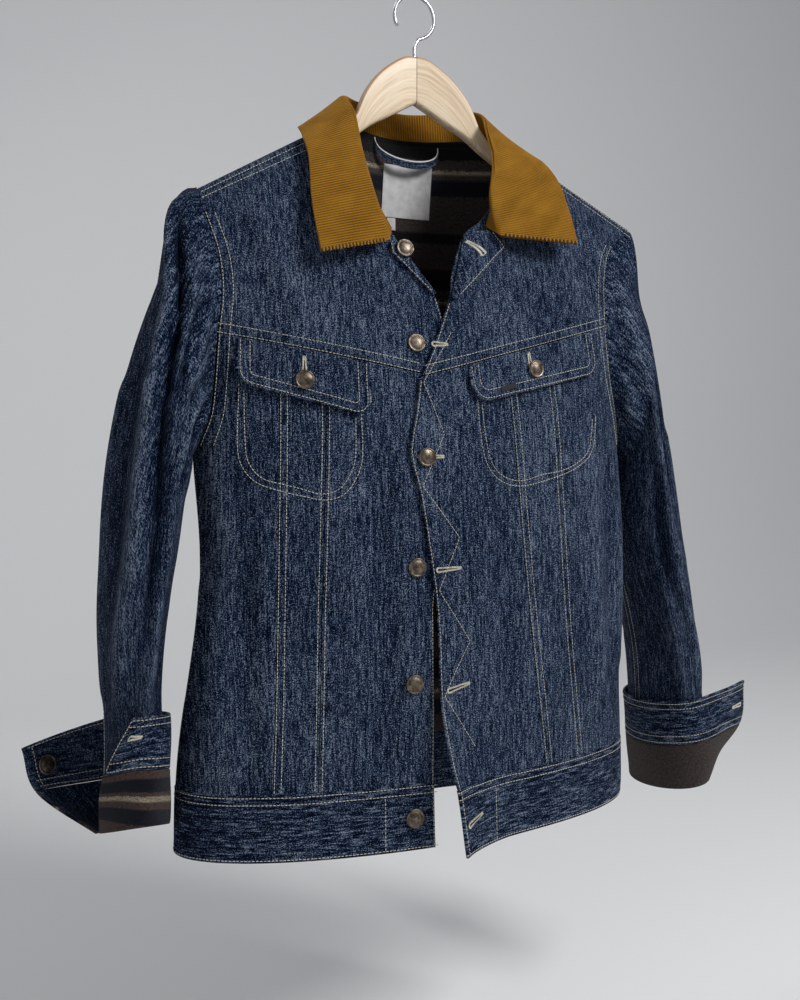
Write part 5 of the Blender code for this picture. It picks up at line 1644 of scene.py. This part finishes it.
def edge_teeth():
    """Tufts of pile between the ribs, along the bottom edges of the collar's wings."""
    length = COLLAR[-1].at
    for end, inside in ((0.0, 0.5), (length, length - 0.5)):
        t = np.linspace(0.62, 0.99, 19)
        rim, back = collar_point(np.full(t.size, end), t), collar_point(np.full(t.size, inside), t)
        out = unit(rim - back)
        face = unit(np.cross(out, np.gradient(rim, axis=0))) * (1 if end == 0.0 else -1)
        tip = rim + out * rng.uniform(0.15, 0.24, (t.size, 1)) - face * 0.12
        start = rim - out * 0.25 - face * 0.12
        stitches.setdefault("collar_teeth", []).append(np.stack([start, tip, face], axis=1))


sew_arms()
edge_teeth()
# The slits' dark thread is painted shade inside each buttonhole.
FINISH = {"buttonhole_slits": (black_cloth_and_slit_shade, 0.05), "collar_teeth": (mustard_pile, 0.12)}
for group, rows in stitches.items():
    make_stitches(group, rows, *FINISH.get(group, (cream_thread, THREAD)))

# %% [markdown]
# The buttons are plain domed metal, each turned from one profile: a shank, a back plate, a raised rim,
# a groove and the dome. The profile is spun round its axis, which is also how such a button is
# pressed.

# %% Buttons
PROFILE = [
    (0.0, 0.0), (0.30, 0.0), (0.30, 0.13), (0.86, 0.15), (0.97, 0.18), (1.0, 0.23), (0.98, 0.29),
    (0.92, 0.325), (0.85, 0.32), (0.80, 0.285), (0.76, 0.29), (0.66, 0.335), (0.50, 0.375),
    (0.30, 0.405), (0.12, 0.418), (0.0, 0.42),
]
FrontButton = namedtuple("FrontButton", "side x z lift label")
FRONT_BUTTONS = [
    FrontButton("right", -5.15, -26.9, 0.36, "neck"),
    FrontButton("right", -4.75, -35.5, -0.13, "front_1"),
    FrontButton("left", -4.50, -45.7, 0.0, "front_2"),
    FrontButton("right", -5.45, -55.4, 0.0, "front_3"),
    FrontButton("right", -5.85, -65.6, 0.0, "front_4"),
    FrontButton("right", -5.85, -77.3, 0.06, "front_5"),
]


def make_button(name, place, normal, radius=0.85):
    bm = bmesh.new()
    line = [bm.verts.new((share * radius, 0, height)) for share, height in PROFILE]
    edges = [bm.edges.new(pair) for pair in zip(line, line[1:])]
    bmesh.ops.spin(
        bm, geom=line + edges, cent=(0, 0, 0), axis=(0, 0, 1), angle=math.tau, steps=40, use_merge=True
    )
    bmesh.ops.remove_doubles(bm, verts=bm.verts, dist=1e-4)
    bmesh.ops.recalc_face_normals(bm, faces=bm.faces)
    normal = Vector(normal)
    spin = Vector((0, 0, 1)).rotation_difference(normal).to_matrix().to_4x4()
    bmesh.ops.transform(bm, matrix=spin, verts=bm.verts)
    bmesh.ops.translate(bm, vec=Vector(place) + normal * GAP, verts=bm.verts)
    piece = finish_piece(name + "_metal", bm, [bronze], 60)
    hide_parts(name)


def seat(face, u, v, lift):
    """A place on a face, and the face's normal there."""
    low, high = face(np.array([u]), np.array([v]), lift)[0], face(np.array([u]), np.array([v]), lift + 1)[0]
    return low, unit(high - low)


for side, x, z, lift, label in FRONT_BUTTONS:
    make_button(f"button_{label}", *seat(on_front(side), x, z, lift))
for side, x, drop in (("right", -14.95, 2.7), ("left", 7.5, 2.0)):
    make_button(f"button_flap_{side}", *seat(on_flap(side), x, drop, 0.0))
for side in SIGN:
    place, normal = seat(lambda u, v, lift, side=side: cuff_face(side, u, v, lift), 0.05, 1.5, -BAND - 0.05)
    make_button(f"button_cuff_{side}", place, -normal)
print("buttons: 10")

# %% [markdown]
# The hanger is two curved arms of pale wood joined at the middle. Each is a tube of rounded
# rectangles. Its steel hook rises from the joint and bends round to a crook. The origin is inside the
# top of that crook.

# %% Hanger and hook
Wood = namedtuple("Wood", "x top bottom")
HANGER = [
    Wood(0.0, -6.0, -10.7),
    Wood(1.1, -6.15, -11.3),
    Wood(2.1, -6.65, -11.9),
    Wood(3.6, -7.75, -12.75),
    Wood(4.8, -9.0, -13.4),
    Wood(5.8, -10.5, -14.1),
    Wood(6.8, -12.65, -14.9),
    Wood(8.4, -14.4, -16.05),
    Wood(10.0, -14.88, -17.1),
    Wood(16.0, -18.40, -20.5),
    Wood(20.6, -21.12, -22.9),
    Wood(21.6, -21.87, -23.2),
]
wood = columns(HANGER, "x")
HANGER_HALF, CORNER, HANGER_SWEEP = 0.6, 0.36, 3.25
WIRE, HOOK_RADIUS = 0.175, 2.0


def tube(name, rings, grain, rim, material, slot):
    """A closed skin through rings of points, each ring a row of the grid."""
    count, around = rings.shape[:2]
    bm = bmesh.new()
    grain_layer, rim_layer = (bm.verts.layers.float_vector.new(key) for key in ("grain", "rim"))
    bmesh.ops.create_grid(bm, x_segments=count - 1, y_segments=around, size=1.0)
    for vert in bm.verts:
        i = round((vert.co.x + 1) / 2 * (count - 1))
        j = round((vert.co.y + 1) / 2 * around)
        vert.co = rings[i, j % around]
        vert[grain_layer] = (grain[0][i, j], grain[1][i, j], 0)
        vert[rim_layer] = (0, rim[i, j % around], 0)
    for key, layer in (("grain", grain_layer), ("rim", rim_layer)):
        uv = bm.loops.layers.uv.new(key)
        for face in bm.faces:
            for loop in face.loops:
                loop[uv].uv = loop.vert[layer].xy
    for key in ("grain", "rim"):
        bm.verts.layers.float_vector.remove(bm.verts.layers.float_vector[key])
    bmesh.ops.remove_doubles(bm, verts=bm.verts, dist=1e-5)
    bmesh.ops.holes_fill(bm, edges=[e for e in bm.edges if e.is_boundary])
    bmesh.ops.recalc_face_normals(bm, faces=bm.faces)
    piece = finish_piece(f"{name}_{slot}", bm, [material], 60)
    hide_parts(name)


def make_hanger():
    arc = np.radians(np.linspace(0, 90, 7))
    corner_y = HANGER_HALF - CORNER + CORNER * np.sin(arc)
    corner_z = CORNER - CORNER * np.cos(arc)
    quarter = np.stack([corner_y, corner_z], axis=1)
    for side, sign in SIGN.items():
        x = np.concatenate([[GAP / 2], np.linspace(0.35, HANGER[-1].x, 110)])
        top, bottom = wood.top(x)[:, None], wood.bottom(x)[:, None]
        y = -HANGER_SWEEP * (x[:, None] / 21.5) ** 1.2
        share = np.linspace(0, 1, 5)[1:-1]
        right = [
            (quarter[:, 0], top - quarter[:, 1]),
            (np.full(3, HANGER_HALF), mix(top - CORNER, bottom + CORNER, share)),
            (quarter[::-1, 0], bottom + quarter[::-1, 1]),
        ]
        dy = np.concatenate([part[0] for part in right])
        dz = np.concatenate([part[1] for part in right], axis=1)
        dy, dz = np.concatenate([dy, -dy[::-1]]), np.concatenate([dz, dz[:, ::-1]], axis=1)
        rings = xyz(sign * x[:, None], y + dy, dz)
        run = np.broadcast_to(x[:, None], rings.shape[:2])
        across = dz - top + 0.25 * dy + sign * 3
        grain = tuple(np.pad(g, ((0, 0), (0, 1)), mode="edge") for g in (run, across))
        rim = np.clip(1 - (top - dz) / 0.55, 0, 1)
        tube(f"hanger_{side}", rings, grain, rim, ash, "wood")


def make_hook():
    """Wire: up from the wood, then round to the crook at the top."""
    stem = [(0.0, z) for z in np.linspace(-6.0 + GAP, -4.9, 8)]
    turns = np.radians(np.linspace(-78, 212, 64))
    bend_radius = HOOK_RADIUS + WIRE
    bend = [(bend_radius * np.cos(a), -HOOK_RADIUS + bend_radius * np.sin(a)) for a in turns]
    spine = np.array(stem + bend)
    aim = np.gradient(spine, axis=0)
    aim /= np.hypot(*aim.T)[:, None]
    round_angle = np.linspace(0, 2 * np.pi, 17)[:-1]
    size_at = np.full((len(spine), 1), WIRE)
    size_at[-1], size_at[-2] = WIRE * 0.55, WIRE * 0.9
    out = xyz(-aim[:, 1:2], 0.0, aim[:, 0:1]) * np.cos(round_angle)[None, :, None]
    out = out + xyz(0.0, np.sin(round_angle)[None, :], 0.0)
    rings = xyz(spine[:, :1], 0.0, spine[:, 1:]) + out * size_at[..., None]
    flat = np.zeros((len(spine), 17))
    tube("hook", rings, (flat, flat), flat, steel, "steel")


make_hanger()
make_hook()
print("hanger and hook made")

# %% [markdown]
# A product photographer hangs a jacket against seamless paper. The main light comes from above, in
# front and to the jacket's left, so that the collar and the flaps throw short shadows. A weak one
# fills from the other side, and a third lights the edges from behind. The paper
# here is one pale sheet, its bend rounded, and the camera stands at the height of the jacket's
# middle, on the wearer's right.


# %% Stage, light and camera
def make_stage():
    bm = bmesh.new()
    bmesh.ops.create_grid(bm, x_segments=1, y_segments=60, size=1.0)
    for vert in bm.verts:
        t = (vert.co.y + 1) / 2
        turn = np.clip((t - 0.5) / 0.2, 0, 1) * np.pi / 2
        y = mix(-3.0, 1.6, min(t / 0.5, 1)) + 0.9 * math.sin(turn)
        z = -1.06 + 0.9 * (1 - math.cos(turn)) + 3.2 * max(0, (t - 0.7) / 0.3)
        vert.co = (vert.co.x * 4.5, y, z)
    mesh = bpy.data.meshes.new("paper")
    bm.to_mesh(mesh)
    bm.free()
    mesh.shade_smooth()
    g = Graph("paper", specular=0.1, roughness=0.9)
    g.shader.inputs["Base Color"].default_value = (0.88, 0.88, 0.88, 1.0)
    mesh.materials.append(g.material)
    paper = bpy.data.objects.new("paper", mesh)
    bpy.context.scene.collection.objects.link(paper)


def add_light(name, place, aim, width, power, color=(1.0, 1.0, 1.0)):
    light = bpy.data.lights.new(name, "AREA")
    light.shape, light.size, light.energy, light.color = "SQUARE", width, power, color
    lamp = bpy.data.objects.new(name, light)
    lamp.location = place
    lamp.rotation_euler = (Vector(aim) - Vector(place)).to_track_quat("-Z", "Y").to_euler()
    bpy.context.scene.collection.objects.link(lamp)


make_stage()
add_light("key", (1.1, -1.7, 1.05), (0.0, 0.0, -0.40), 0.8, 49)
add_light("fill", (-1.9, -1.4, 0.2), (0.0, 0.0, -0.5), 1.4, 5)
add_light("rim", (-0.8, 1.0, 1.3), (0.0, 0.0, -0.4), 1.0, 9)
ROOM_COLOR, ROOM_STRENGTH = (0.9, 0.93, 1.0, 1.0), 0.23
CAMERA_PLACE, CAMERA_TURN = (-0.482, -1.0, -0.44), -25
world = bpy.context.scene.world or bpy.data.worlds.new("studio")
bpy.context.scene.world = world
world.use_nodes = True
world.node_tree.nodes["Background"].inputs["Color"].default_value = ROOM_COLOR
world.node_tree.nodes["Background"].inputs["Strength"].default_value = ROOM_STRENGTH
camera = bpy.data.cameras.new("camera")
camera.lens, camera.sensor_width, camera.shift_y = 40.0, 36.0, -0.062
viewer = bpy.data.objects.new("camera", camera)
viewer.location = CAMERA_PLACE
viewer.rotation_euler = (math.radians(90), 0, math.radians(CAMERA_TURN))
bpy.context.scene.collection.objects.link(viewer)
bpy.context.scene.camera = viewer
bpy.context.scene.view_settings.view_transform = "Standard"
print("camera at", tuple(viewer.location))
